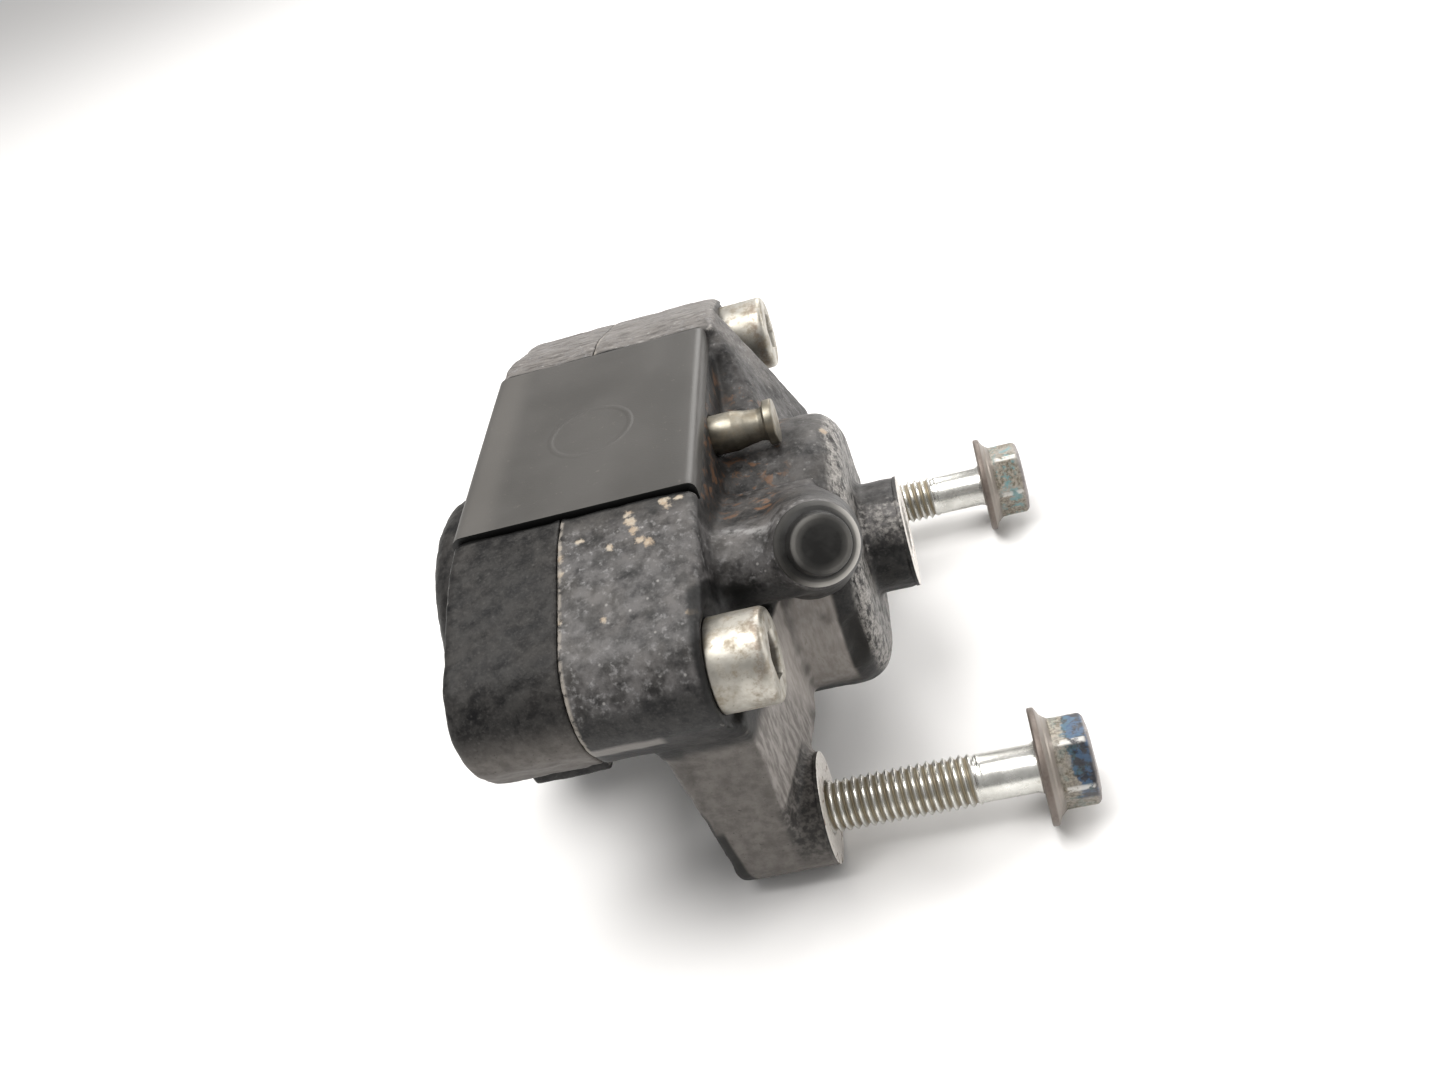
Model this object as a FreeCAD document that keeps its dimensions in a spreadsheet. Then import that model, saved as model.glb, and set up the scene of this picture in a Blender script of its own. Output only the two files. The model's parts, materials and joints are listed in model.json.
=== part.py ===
import FreeCAD, Part
import math
import os
import Sketcher

# Two-piston opposed brake caliper, in millimetres.
# +X runs along the pistons and bolts, towards the fluid port and the bolt heads.
# +Y runs along the caliper, from one lug to the other.  +Z points away from the wheel axle.
# The origin is the midpoint between the two lug holes, on the machined lug faces.

Vector = FreeCAD.Vector

DIMENSIONS = [
    ("seam_x", -24.7, "plane where the two halves meet"),
    ("disc_x", -22.5, "middle plane of the brake disc"),
    ("disc_gap", 8.0, "width of the slot that the disc runs in"),
    ("disc_centre_z", -66.5, "height of the wheel axle"),
    ("disc_slot_radius", 107.0, "top of the disc slot"),
    ("bridge_top_z", 53.6, "top face of both halves"),
    ("bridge_flat_y", 28.0, "end of the level part of the top"),
    ("bridge_shoulder_y", 47.5, "upper corner of the ear"),
    ("bridge_shoulder_z", 47.2, "height of that corner"),
    ("bridge_end_y", 51.4, "end face of the ear"),
    ("bridge_end_top_z", 42.0, "top of the end face"),
    ("bridge_end_low_z", 36.0, "foot of the end face"),
    ("bridge_foot_y", 46.5, "lower corner of the ear"),
    ("bridge_foot_z", 28.0, "underside of the ear"),
    ("bridge_top_round", 25.0, "rounding where the top starts to fall"),
    ("bridge_end_round", 8.5, "rounding of the ear's end"),
    ("bridge_foot_round", 3.6, "rounding of the ear's foot"),
    ("cast_round", 1.2, "rounding of cast edges"),
    ("outboard_face_x", -41.3, "outer face of the outboard ears"),
    ("inboard_face_x", -4.8, "outer face of the inboard ears"),
    ("window_half_y", 22.5, "half width of the pad window"),
    ("wall_foot_z", 17.0, "foot of the wall between ear and housing"),
    ("wall_half_y", 36.5, "half width of that wall"),
    ("abutment_depth", 7.0, "how far the pad guides stand from the wall"),
    ("piston_z", 20.7, "height of the bore axis"),
    ("housing_radius", 22.3, "outside of the bore housing"),
    ("housing_round", 5.2, "rounding of the housing's rim"),
    ("outboard_end_x", -54.5, "closed end of the outboard housing"),
    ("inboard_end_x", 13.2, "closed end of the inboard housing"),
    ("outboard_mouth_x", -35.5, "mouth of the outboard bore"),
    ("inboard_mouth_x", -9.5, "mouth of the inboard bore"),
    ("end_wall", 4.0, "thickness of the closed bore end"),
    ("bore_radius", 17.0, "cylinder bore"),
    ("piston_clearance", 0.05, "radial running clearance of the piston"),
    ("piston_cup_radius", 13.0, "hollow of the piston"),
    ("piston_floor", 4.5, "floor of the piston"),
    ("dust_groove_offset", 1.4, "from the bore mouth to the dust seal groove"),
    ("dust_groove_width", 2.6, "dust seal groove"),
    ("dust_groove_radius", 19.2, "dust seal groove floor"),
    ("seal_groove_offset", 7.0, "from the bore mouth to the pressure seal groove"),
    ("seal_groove_width", 3.6, "pressure seal groove"),
    ("seal_groove_radius", 20.0, "pressure seal groove floor"),
    ("seal_side_gap", 0.1, "side gap of a seal in its groove"),
    ("pad_gap", 0.3, "gap between disc and lining"),
    ("disc_thickness", 4.5, "brake disc"),
    ("lining_thickness", 5.0, "friction material"),
    ("backing_thickness", 4.0, "steel backing plate"),
    ("pad_half_y", 22.0, "half width of the backing plate"),
    ("pad_foot_z", 7.0, "foot of the backing plate"),
    ("pad_shoulder_z", 42.2, "shoulder of the backing plate"),
    ("pad_corner", 6.0, "cut corner of the backing plate"),
    ("pad_tab_half_y", 7.0, "half width of the hanging tab"),
    ("pad_tab_z", 51.0, "top of the hanging tab"),
    ("pad_hole_radius", 2.9, "hole for the pad pin"),
    ("lining_half_y", 20.5, "half width of the lining"),
    ("lining_foot_z", 9.0, "foot of the lining"),
    ("lining_top_z", 37.6, "top of the lining"),
    ("lining_groove", 1.6, "width of the dust groove across the lining"),
    ("lining_groove_depth", 3.0, "depth of that groove"),
    ("piston_play", 0.05, "gap between piston and backing plate"),
    ("bolt_y", 43.7, "bridge bolts from the middle"),
    ("bolt_z", 39.2, "height of the bridge bolts"),
    ("bolt_radius", 3.95, "M8 shank"),
    ("bolt_clearance_radius", 4.3, "hole in the inboard half"),
    ("bolt_tap_radius", 4.0, "threaded hole in the outboard half"),
    ("bolt_tap_depth", 13.5, "threaded depth"),
    ("bolt_length", 30.0, "under the head"),
    ("bolt_head_radius", 6.5, "M8 socket head"),
    ("bolt_head_height", 8.0, "M8 socket head"),
    ("bolt_socket", 6.0, "hexagon socket across flats"),
    ("bolt_socket_depth", 4.2, "hexagon socket"),
    ("bolt_seat_x", -5.9, "spot face under the near screw head"),
    ("bolt_seat_far_x", -5.4, "spot face under the far screw head"),
    ("spot_radius", 7.3, "spot face"),
    ("lug_y", 36.0, "lug holes from the middle"),
    ("lug_radius", 8.5, "machined lug face"),
    ("lug_back_x", -15.6, "back of the lug boss"),
    ("lug_hole_radius", 4.05, "M8 lug hole"),
    ("arm_outer_y", 44.5, "outer side of the lug arm"),
    ("arm_inner_y", 19.0, "inner side of the lug arm, at the housing"),
    ("arm_inner_z", 8.0, "height of that corner"),
    ("arm_tangent_y", 29.2, "where the arm leaves the boss"),
    ("arm_tangent_z", 5.1, "height of that place"),
    ("arm_back_x", -18.3, "back of the arm at its top"),
    ("arm_back_low_x", -14.6, "back of the arm at the lug"),
    ("arm_front_x", 0.4, "front of the arm beside the housing"),
    ("arm_edge_x", -4.4, "front of the arm at its outer side"),
    ("arm_top_z", 31.5, "top of the arm, inside the ear"),
    ("arm_blend_y", 47.6, "outer side of the arm at its top"),
    ("arm_blend_z", 24.2, "where that side starts to lean out to the ear"),
    ("arm_low_z", -9.0, "below the lug boss"),
    ("port_radius", 9.0, "fluid port boss"),
    ("port_face_x", 20.0, "machined face of the port"),
    ("port_hole_radius", 5.0, "M10 port thread"),
    ("port_drill_radius", 2.0, "drilling from the port to the bore"),
    ("port_thread_depth", 8.0, "threaded depth of the port"),
    ("gusset_near_y", 8.0, "where the pocket floor starts to rise"),
    ("gusset_far_y", 30.0, "outer side of the gusset"),
    ("gusset_foot_x", 6.7, "foot of the gusset's slope"),
    ("gusset_foot_z", 29.5, "height of that foot"),
    ("gusset_top_x", -3.6, "top of the gusset's slope"),
    ("pocket_floor_z", 43.2, "floor of the pocket around the pin"),
    ("pocket_round", 15.0, "concave side of the pocket"),
    ("ridge_y", -28.0, "fluid passage ridge"),
    ("ridge_z", 42.0, "fluid passage ridge"),
    ("ridge_radius", 5.5, "fluid passage ridge"),
    ("ridge_end_x", 10.5, "end of the ridge"),
    ("passage_radius", 2.0, "crossover drilling"),
    ("ring_pocket_radius", 4.1, "O-ring pocket in the seam"),
    ("ring_pocket_depth", 1.5, "O-ring pocket in the seam"),
    ("ring_wire", 0.75, "O-ring section radius"),
    ("bleed_x", 8.8, "bleed axis where it passes the ridge"),
    ("bleed_z", 43.4, "bleed axis where it passes the ridge"),
    ("bleed_turn", 14.0, "bleed axis, degrees from the YZ plane"),
    ("bleed_rise", 34.5, "bleed axis, degrees above level"),
    ("bleed_boss_radius", 6.0, "bleed boss at its face"),
    ("bleed_root_radius", 8.5, "bleed boss at its root"),
    ("bleed_boss_top", 5.0, "bleed boss face beyond the ridge"),
    ("bleed_boss_length", 18.0, "bleed boss"),
    ("bleed_screw_radius", 4.0, "M8 bleed screw"),
    ("bleed_hole_radius", 4.05, "bleed screw hole"),
    ("bleed_hole_depth", 10.0, "bleed screw hole"),
    ("bleed_hex", 8.0, "bleed screw across flats"),
    ("cap_base_radius", 5.7, "rim of the dust cap"),
    ("cap_tip_radius", 3.95, "closed end of the dust cap"),
    ("cap_length", 9.2, "dust cap"),
    ("cap_rim", 3.0, "height of the cap's rim"),
    ("pin_z", 46.8, "pad pin"),
    ("pin_radius", 2.5, "pad pin shaft"),
    ("pin_tip_x", -38.4, "tip of the pad pin"),
    ("pin_collar_radius", 3.12, "pin in the inboard wall"),
    ("pin_head_x", 5.1, "end of the pin"),
    ("pin_head_radius", 3.5, "end disc of the pin"),
    ("pin_waist_radius", 2.45, "waist behind the end disc"),
    ("pin_play", 0.06, "running clearance of the pin"),
    ("sleeve_gap", 1.0, "slit of the spring sleeve"),
    ("spring_thickness", 0.5, "pad spring"),
    ("spring_z", 42.6, "underside of the pad spring"),
    ("spring_half_y", 18.0, "half length of the pad spring"),
    ("spring_half_x", 11.0, "half width of the pad spring"),
    ("spring_waist_x", 4.8, "half width between the pad tabs"),
    ("spring_waist_y", 8.5, "half length of the waist"),
    ("cover_top_z", 54.25, "pad cover"),
    ("cover_thickness", 1.2, "pad cover"),
    ("cover_half_y", 22.4, "half width of the pad cover"),
    ("cover_left_x", -41.6, "outboard edge of the cover"),
    ("cover_right_x", -4.9, "inboard edge of the cover"),
    ("cover_lip_z", 49.6, "lower edge of the outboard lip"),
    ("cover_hook_z", 51.2, "lower edge of the inboard lip"),
    ("cover_round", 1.9, "outer bend radius"),
    ("cover_gap", 0.35, "gap between cover and castings"),
    ("mount_bolt_radius", 4.0, "M8 flange bolt"),
    ("mount_bolt_length", 40.0, "under the flange"),
    ("mount_thread_length", 30.5, "threaded part"),
    ("mount_shank_radius", 3.6, "plain shank"),
    ("flange_radius", 8.75, "bolt flange"),
    ("flange_rim", 1.05, "thickness of the flange's rim"),
    ("flange_cone_height", 2.7, "flange up to the hexagon"),
    ("head_height", 7.9, "whole bolt head"),
    ("head_hex", 12.0, "hexagon across flats"),
    ("mount_bolt_turn", 18.0, "degrees that both hexagons are turned from upright"),
    ("mount_bolt_near_x", 31.6, "flange of the near bolt, from the lug face"),
    ("mount_bolt_far_x", 33.5, "flange of the far bolt, from the lug face"),
]

doc = FreeCAD.newDocument("brake_caliper")
dims = doc.addObject("Spreadsheet::Sheet", "dims")


def fill_sheet():
    for row, (alias, size, note) in enumerate(DIMENSIONS, start=1):
        dims.set(f"A{row}", note)
        dims.set(f"B{row}", str(size))
        dims.setAlias(f"B{row}", alias)
    doc.recompute()


def cell(expression):
    """Writes each alias in an expression as dims.alias."""
    names = sorted((alias for alias, _, _ in DIMENSIONS), key=len, reverse=True)
    words = []
    for word in expression.replace("(", " ( ").replace(")", " ) ").split():
        bare = word.lstrip("-")
        sign = word[: len(word) - len(bare)]
        words.append(sign + ("dims." + bare if bare in names else bare))
    return " ".join(words)


def value(expression):
    return float(dims.evalExpression(cell(expression)))


def new_body(label):
    body = doc.addObject("PartDesign::Body", label)
    body.Label = label
    return body


def new_sketch(body, role, name, offset=None):
    """A sketch on one of the body's own origin planes, moved along its normal."""
    plane = next(item for item in body.Origin.OriginFeatures if item.Role == role)
    sketch = body.newObject("Sketcher::SketchObject", name)
    sketch.AttachmentSupport = (plane, "")
    sketch.MapMode = "FlatFace"
    if offset:
        sketch.setExpression("AttachmentOffset.Base.z", cell(offset))
    return sketch


def bind(sketch, kind, geometry, point, expression):
    """Fixes a point's distance from the sketch origin to an expression."""
    size = value(expression)
    index = sketch.addConstraint(Sketcher.Constraint(kind, -1, 1, geometry, point, size))
    sketch.setExpression(f"Constraints[{index}]", cell(expression))


def polygon(sketch, corners):
    """A closed outline whose corners are pairs of expressions."""
    first = sketch.GeometryCount
    count = len(corners)
    points = [Vector(value(a), value(b), 0) for a, b in corners]
    for index in range(count):
        edge = Part.LineSegment(points[index], points[(index + 1) % count])
        sketch.addGeometry(edge, False)
    for index in range(count):
        following = first + (index + 1) % count
        sketch.addConstraint(Sketcher.Constraint("Coincident", first + index, 2, following, 1))
    for index, (across, up) in enumerate(corners):
        bind(sketch, "DistanceX", first + index, 1, across)
        bind(sketch, "DistanceY", first + index, 1, up)


def circle(sketch, across, up, radius):
    """A circle with its centre and radius given by expressions."""
    centre = Vector(value(across), value(up), 0)
    shape = Part.Circle(centre, Vector(0, 0, 1), value(radius))
    index = sketch.addGeometry(shape, False)
    bind(sketch, "DistanceX", index, 3, across)
    bind(sketch, "DistanceY", index, 3, up)
    size = sketch.addConstraint(Sketcher.Constraint("Radius", index, value(radius)))
    sketch.setExpression(f"Constraints[{size}]", cell(radius))


def extrude(body, kind, sketch, name, length, reverse=False, midplane=False):
    feature = body.newObject(kind, name)
    feature.Profile = sketch
    feature.setExpression("Length", cell(length))
    feature.Reversed = reverse
    feature.Midplane = midplane
    sketch.Visibility = False
    doc.recompute()


def pad_x(body, name, start, end, draw):
    """A pad along X between two planes; draw fills its YZ sketch."""
    sketch = new_sketch(body, "YZ_Plane", name + "_outline", start)
    draw(sketch)
    extrude(body, "PartDesign::Pad", sketch, name, f"{end} - ( {start} )")


def cut_x(body, name, start, end, draw):
    """A pocket along X between two planes; draw fills its YZ sketch."""
    sketch = new_sketch(body, "YZ_Plane", name + "_outline", start)
    draw(sketch)
    before = body.Shape.Volume
    extrude(body, "PartDesign::Pocket", sketch, name, f"{end} - ( {start} )", True)
    if body.Shape.Volume > before - 1e-3:
        raise RuntimeError(f"{body.Label}: {name} cuts nothing")


def drill_x(body, name, start, end, across, up, radius):
    cut_x(body, name, start, end, lambda sketch: circle(sketch, across, up, radius))


def boss_x(body, name, start, end, across, up, radius):
    pad_x(body, name, start, end, lambda sketch: circle(sketch, across, up, radius))


def revolve(body, name, corners, kind="PartDesign::Revolution"):
    """Turns a profile about the sketch's horizontal axis; corners are (along, radius)."""
    sketch = new_sketch(body, "XZ_Plane", name + "_profile")
    polygon(sketch, corners)
    feature = body.newObject(kind, name)
    feature.Profile = sketch
    feature.ReferenceAxis = (sketch, ["H_Axis"])
    feature.Angle = 360.0
    sketch.Visibility = False
    doc.recompute()


def round_edges(body, name, radius, wanted):
    """Rounds the edges of the body's tip that the test wanted() accepts."""
    tip = body.Tip
    names = [f"Edge{i}" for i, edge in enumerate(tip.Shape.Edges, start=1) if wanted(edge)]
    feature = body.newObject("PartDesign::Fillet", name)
    feature.Base = (tip, names)
    feature.setExpression("Radius", cell(radius))
    doc.recompute()
    if not feature.isValid() or not body.Shape.isValid():
        raise RuntimeError(f"{body.Label}: {name} failed on {len(names)} edges")


def along_x_at(edge, places, tolerance=0.05):
    """True for a straight edge along X that passes through one of the (y, z) places."""
    if not isinstance(edge.Curve, Part.Line):
        return False
    start, end = edge.Vertexes[0].Point, edge.Vertexes[-1].Point
    if abs(start.y - end.y) > tolerance or abs(start.z - end.z) > tolerance:
        return False
    return any(abs(start.y - y) < tolerance and abs(start.z - z) < tolerance for y, z in places)


def both_sides(across, up):
    y, z = value(across), value(up)
    return [(y, z), (-y, z)]


def mirrored(corners):
    return [("-" + across, up) for across, up in reversed(corners)]


BRIDGE_SIDE = [
    ("bridge_flat_y", "bridge_top_z"),
    ("bridge_shoulder_y", "bridge_shoulder_z"),
    ("bridge_end_y", "bridge_end_top_z"),
    ("bridge_end_y", "bridge_end_low_z"),
    ("bridge_foot_y", "bridge_foot_z"),
]


def bridge(body, start, end, outer_x):
    """The two ears and the bridge between them, with their rounded outline."""
    corners = BRIDGE_SIDE + mirrored(BRIDGE_SIDE)
    pad_x(body, "bridge", start, end, lambda sketch: polygon(sketch, corners))
    flat = both_sides("bridge_flat_y", "bridge_top_z")
    round_edges(body, "top_rounds", "bridge_top_round", lambda edge: along_x_at(edge, flat))
    ends = both_sides("bridge_shoulder_y", "bridge_shoulder_z")
    ends += both_sides("bridge_end_y", "bridge_end_top_z")
    ends += both_sides("bridge_end_y", "bridge_end_low_z")
    round_edges(body, "end_rounds", "bridge_end_round", lambda edge: along_x_at(edge, ends))
    feet = both_sides("bridge_foot_y", "bridge_foot_z")
    round_edges(body, "foot_rounds", "bridge_foot_round", lambda edge: along_x_at(edge, feet))
    plane = value(outer_x)
    round_edges(body, "rim_rounds", "cast_round", lambda edge: in_x_plane(edge, plane))


def in_x_plane(edge, plane):
    return all(abs(vertex.Point.x - plane) < 0.01 for vertex in edge.Vertexes)


def wall(body, start, end):
    """The wall behind the pads, which joins the ears to the bore housing."""
    corners = [
        ("wall_half_y", "wall_foot_z"),
        ("wall_half_y", "bridge_foot_z + 1"),
        ("-wall_half_y", "bridge_foot_z + 1"),
        ("-wall_half_y", "wall_foot_z"),
    ]
    pad_x(body, "wall", start, end, lambda sketch: polygon(sketch, corners))


def abutments(body, start, end):
    """The guides on both sides of the window that the pads bear on."""
    corners = [
        ("window_half_y - 1", "wall_foot_z"),
        ("wall_half_y", "wall_foot_z"),
        ("wall_half_y", "bridge_foot_z + 1"),
        ("window_half_y - 1", "bridge_foot_z + 1"),
    ]

    def draw(sketch):
        polygon(sketch, corners)
        polygon(sketch, mirrored(corners))

    pad_x(body, "abutments", start, end, draw)


def housing(body, start, end, rim_x):
    boss_x(body, "housing", start, end, "0", "piston_z", "housing_radius")
    plane = value(rim_x)
    radius = value("housing_radius")

    def rim(edge):
        return in_x_plane(edge, plane) and abs(edge.Length - 2 * math.pi * radius) < 0.1

    round_edges(body, "housing_rim", "housing_round", rim)


def window(body, start, end):
    corners = [
        ("window_half_y", "-20"),
        ("window_half_y", "60"),
        ("-window_half_y", "60"),
        ("-window_half_y", "-20"),
    ]
    cut_x(body, "window", start, end, lambda sketch: polygon(sketch, corners))


def disc_slot(body, start, end):
    drill_x(body, "disc_slot", start, end, "0", "disc_centre_z", "disc_slot_radius")


def cover_seat(body, name, start, end, low):
    """Lowers the wall under the cover."""
    corners = [
        ("cover_half_y + cover_gap", low),
        ("cover_half_y + cover_gap", "60"),
        ("-cover_half_y - cover_gap", "60"),
        ("-cover_half_y - cover_gap", low),
    ]
    cut_x(body, name, start, end, lambda sketch: polygon(sketch, corners))


def outboard_half():
    body = new_body("outboard_half")
    bridge(body, "outboard_face_x", "seam_x", "outboard_face_x")
    wall(body, "outboard_face_x", "outboard_mouth_x")
    abutments(body, "outboard_mouth_x", "outboard_mouth_x + abutment_depth")
    housing(body, "outboard_end_x", "outboard_mouth_x", "outboard_end_x")
    crossover_boss(body)
    window(body, "outboard_mouth_x", "seam_x + 1")
    disc_slot(body, "disc_x - disc_gap / 2", "seam_x + 1")
    below_cover = "cover_top_z - cover_thickness - cover_gap"
    cover_seat(body, "cover_seat", "outboard_end_x", "seam_x + 1", below_cover)
    lip_gap = "cover_left_x + cover_thickness + cover_gap"
    cover_seat(body, "cover_lip_seat", "outboard_end_x", lip_gap, "cover_lip_z - cover_gap")
    bore(body, "outboard_mouth_x", "-1", "outboard_end_x + end_wall")
    for side, across in (("near", "-bolt_y"), ("far", "bolt_y")):
        drill_x(body, f"tapped_{side}", "seam_x - bolt_tap_depth", "seam_x + 1", across, "bolt_z",
                "bolt_tap_radius")
    drill_x(body, "pin_hole", "outboard_face_x", "outboard_mouth_x + 1", "0", "pin_z",
            "pin_radius + pin_play")
    drill_x(body, "crossover", "outboard_mouth_x - 2.5", "seam_x + 1", "ridge_y", "ridge_z",
            "passage_radius")
    crossover_drilling(body)


def bore(body, mouth, direction, end):
    """The cylinder, its dust seal groove and its pressure seal groove."""
    outward = direction == "-1"
    axis = ("0", "piston_z")

    def span(name, near, far, radius):
        start, stop = (far, near) if outward else (near, far)
        drill_x(body, name, start, stop, *axis, radius)

    def inside(distance):
        return f"{mouth} - ( {distance} )" if outward else f"{mouth} + ( {distance} )"

    span("cylinder", inside("-1"), end, "bore_radius")
    span("dust_groove", inside("dust_groove_offset"),
         inside("dust_groove_offset + dust_groove_width"), "dust_groove_radius")
    span("seal_groove", inside("seal_groove_offset"),
         inside("seal_groove_offset + seal_groove_width"), "seal_groove_radius")


def tilted(body, kind, name, start, end, sizes):
    """A round feature whose axis runs from start to end, with bound sizes."""
    feature = body.newObject(kind, name)
    turn = FreeCAD.Rotation(Vector(0, 0, 1), end - start)
    feature.AttachmentOffset = FreeCAD.Placement(start, turn)
    plane = next(item for item in body.Origin.OriginFeatures if item.Role == "XY_Plane")
    feature.AttachmentSupport = (plane, "")
    feature.MapMode = "FlatFace"
    for field, expression in sizes.items():
        feature.setExpression(field, cell(expression))
    feature.setExpression("Height", str((end - start).Length))
    doc.recompute()


def crossover_line():
    """From the crossover drilling down to the chamber behind the outboard piston."""
    start = Vector(value("outboard_mouth_x - 2.5"), value("ridge_y"), value("ridge_z"))
    end = Vector(value("outboard_end_x + end_wall + 0.8"), -13.0, value("piston_z + 10"))
    return start, end


def crossover_boss(body):
    start, end = crossover_line()
    tilted(body, "PartDesign::AdditiveCylinder", "crossover_boss", start, end,
           {"Radius": "ridge_radius - 1"})


def crossover_drilling(body):
    start, end = crossover_line()
    tilted(body, "PartDesign::SubtractiveCylinder", "crossover_drilling", start, end,
           {"Radius": "passage_radius - 0.4"})


def bleed_axis():
    """A point on the bleed axis beside the ridge, and the axis direction outwards."""
    rise = math.radians(value("bleed_rise"))
    turn = math.radians(value("bleed_turn"))
    level = math.cos(rise)
    direction = Vector(level * math.sin(turn), -level * math.cos(turn), math.sin(rise))
    return Vector(value("bleed_x"), value("ridge_y"), value("bleed_z")), direction


def lug_arms(body):
    """Two arms from the ears down to the lugs, with faces that slope forward to the housing."""
    corners = [
        ("arm_blend_y", "arm_top_z"),
        ("arm_outer_y", "arm_blend_z"),
        ("arm_outer_y", "0"),
        ("lug_y", "0"),
        ("arm_tangent_y", "arm_tangent_z"),
        ("arm_inner_y", "arm_inner_z"),
        ("arm_inner_y", "arm_top_z"),
    ]

    def draw(sketch):
        polygon(sketch, corners)
        polygon(sketch, mirrored(corners))

    pad_x(body, "lug_arms", "arm_back_x", "arm_front_x", draw)
    for side, sign in (("near", "-"), ("far", "")):
        sketch = new_sketch(body, "XY_Plane", f"arm_front_{side}_outline", "arm_low_z")
        polygon(sketch, [
            ("arm_edge_x", f"{sign}arm_outer_y"),
            ("arm_front_x", f"{sign}housing_radius"),
            ("arm_front_x + 2", f"{sign}housing_radius"),
            ("arm_front_x + 2", f"{sign}bridge_end_y"),
            ("arm_edge_x", f"{sign}bridge_end_y"),
        ])
        extrude(body, "PartDesign::Pocket", sketch, f"arm_front_{side}",
                "bridge_end_low_z - arm_low_z", True)
    back = new_sketch(body, "XZ_Plane", "arm_back_outline")
    polygon(back, [
        ("arm_back_x - 0.1", "bridge_foot_z"),
        ("arm_back_x", "bridge_foot_z"),
        ("arm_back_low_x", "arm_low_z"),
        ("arm_back_x - 0.1", "arm_low_z"),
    ])
    extrude(body, "PartDesign::Pocket", back, "arm_back", "120", False, True)
    for side, across in (("near", "-lug_y"), ("far", "lug_y")):
        boss_x(body, f"lug_{side}", "lug_back_x", "0", across, "0", "lug_radius")


def gusset(body):
    """The far gusset: a sloping edge in XZ and a concave flank towards the pin."""
    sketch = new_sketch(body, "XZ_Plane", "gusset_outline", "-gusset_far_y")
    polygon(sketch, [
        ("inboard_face_x - 2", "bridge_foot_z"),
        ("inboard_face_x - 2", "bridge_top_z"),
        ("gusset_top_x", "bridge_top_z"),
        ("gusset_foot_x", "gusset_foot_z"),
        ("gusset_foot_x", "bridge_foot_z"),
    ])
    extrude(body, "PartDesign::Pad", sketch, "gusset", "gusset_far_y - gusset_near_y", False)
    drill_x(body, "pocket", "inboard_face_x", "inboard_end_x + 6", "gusset_near_y",
            "pocket_floor_z + pocket_round", "pocket_round")
    sketch = new_sketch(body, "YZ_Plane", "pocket_top_outline", "inboard_face_x")
    polygon(sketch, [
        ("0", "pocket_floor_z"),
        ("gusset_near_y", "pocket_floor_z"),
        ("gusset_near_y + pocket_round", "pocket_floor_z + pocket_round"),
        ("0", "pocket_floor_z + pocket_round"),
    ])
    extrude(body, "PartDesign::Pocket", sketch, "pocket_top", "inboard_end_x - inboard_face_x", True)


def near_shoulder(body):
    """The ridge over the crossover drilling, its shoulder and the bleed boss."""
    boss_x(body, "ridge", "inboard_face_x - 2", "ridge_end_x", "ridge_y", "ridge_z", "ridge_radius")
    corners = [
        ("ridge_y - ridge_radius * 0.6", "ridge_z - ridge_radius * 0.8"),
        ("ridge_y + ridge_radius * 0.25", "ridge_z + ridge_radius * 0.97"),
        ("-10", "pocket_floor_z - 1"),
        ("-10", "piston_z + 10"),
        ("-19", "piston_z + 8"),
    ]
    pad_x(body, "shoulder", "inboard_face_x - 2", "ridge_end_x - 1", lambda sketch: polygon(sketch, corners))
    point, direction = bleed_axis()
    top = point + direction * value("bleed_boss_top")
    root = top - direction * value("bleed_boss_length")
    tilted(body, "PartDesign::AdditiveCone", "bleed_boss", root, top,
           {"Radius1": "bleed_root_radius", "Radius2": "bleed_boss_radius"})


def bleed_drillings(body):
    point, direction = bleed_axis()
    top = point + direction * value("bleed_boss_top")
    floor = top - direction * value("bleed_hole_depth")
    tilted(body, "PartDesign::SubtractiveCylinder", "bleed_hole", floor, top + direction,
           {"Radius": "bleed_hole_radius"})
    chamber = point - direction * 21
    tilted(body, "PartDesign::SubtractiveCylinder", "bleed_drilling", chamber, floor + direction,
           {"Radius": "passage_radius - 0.4"})


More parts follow.
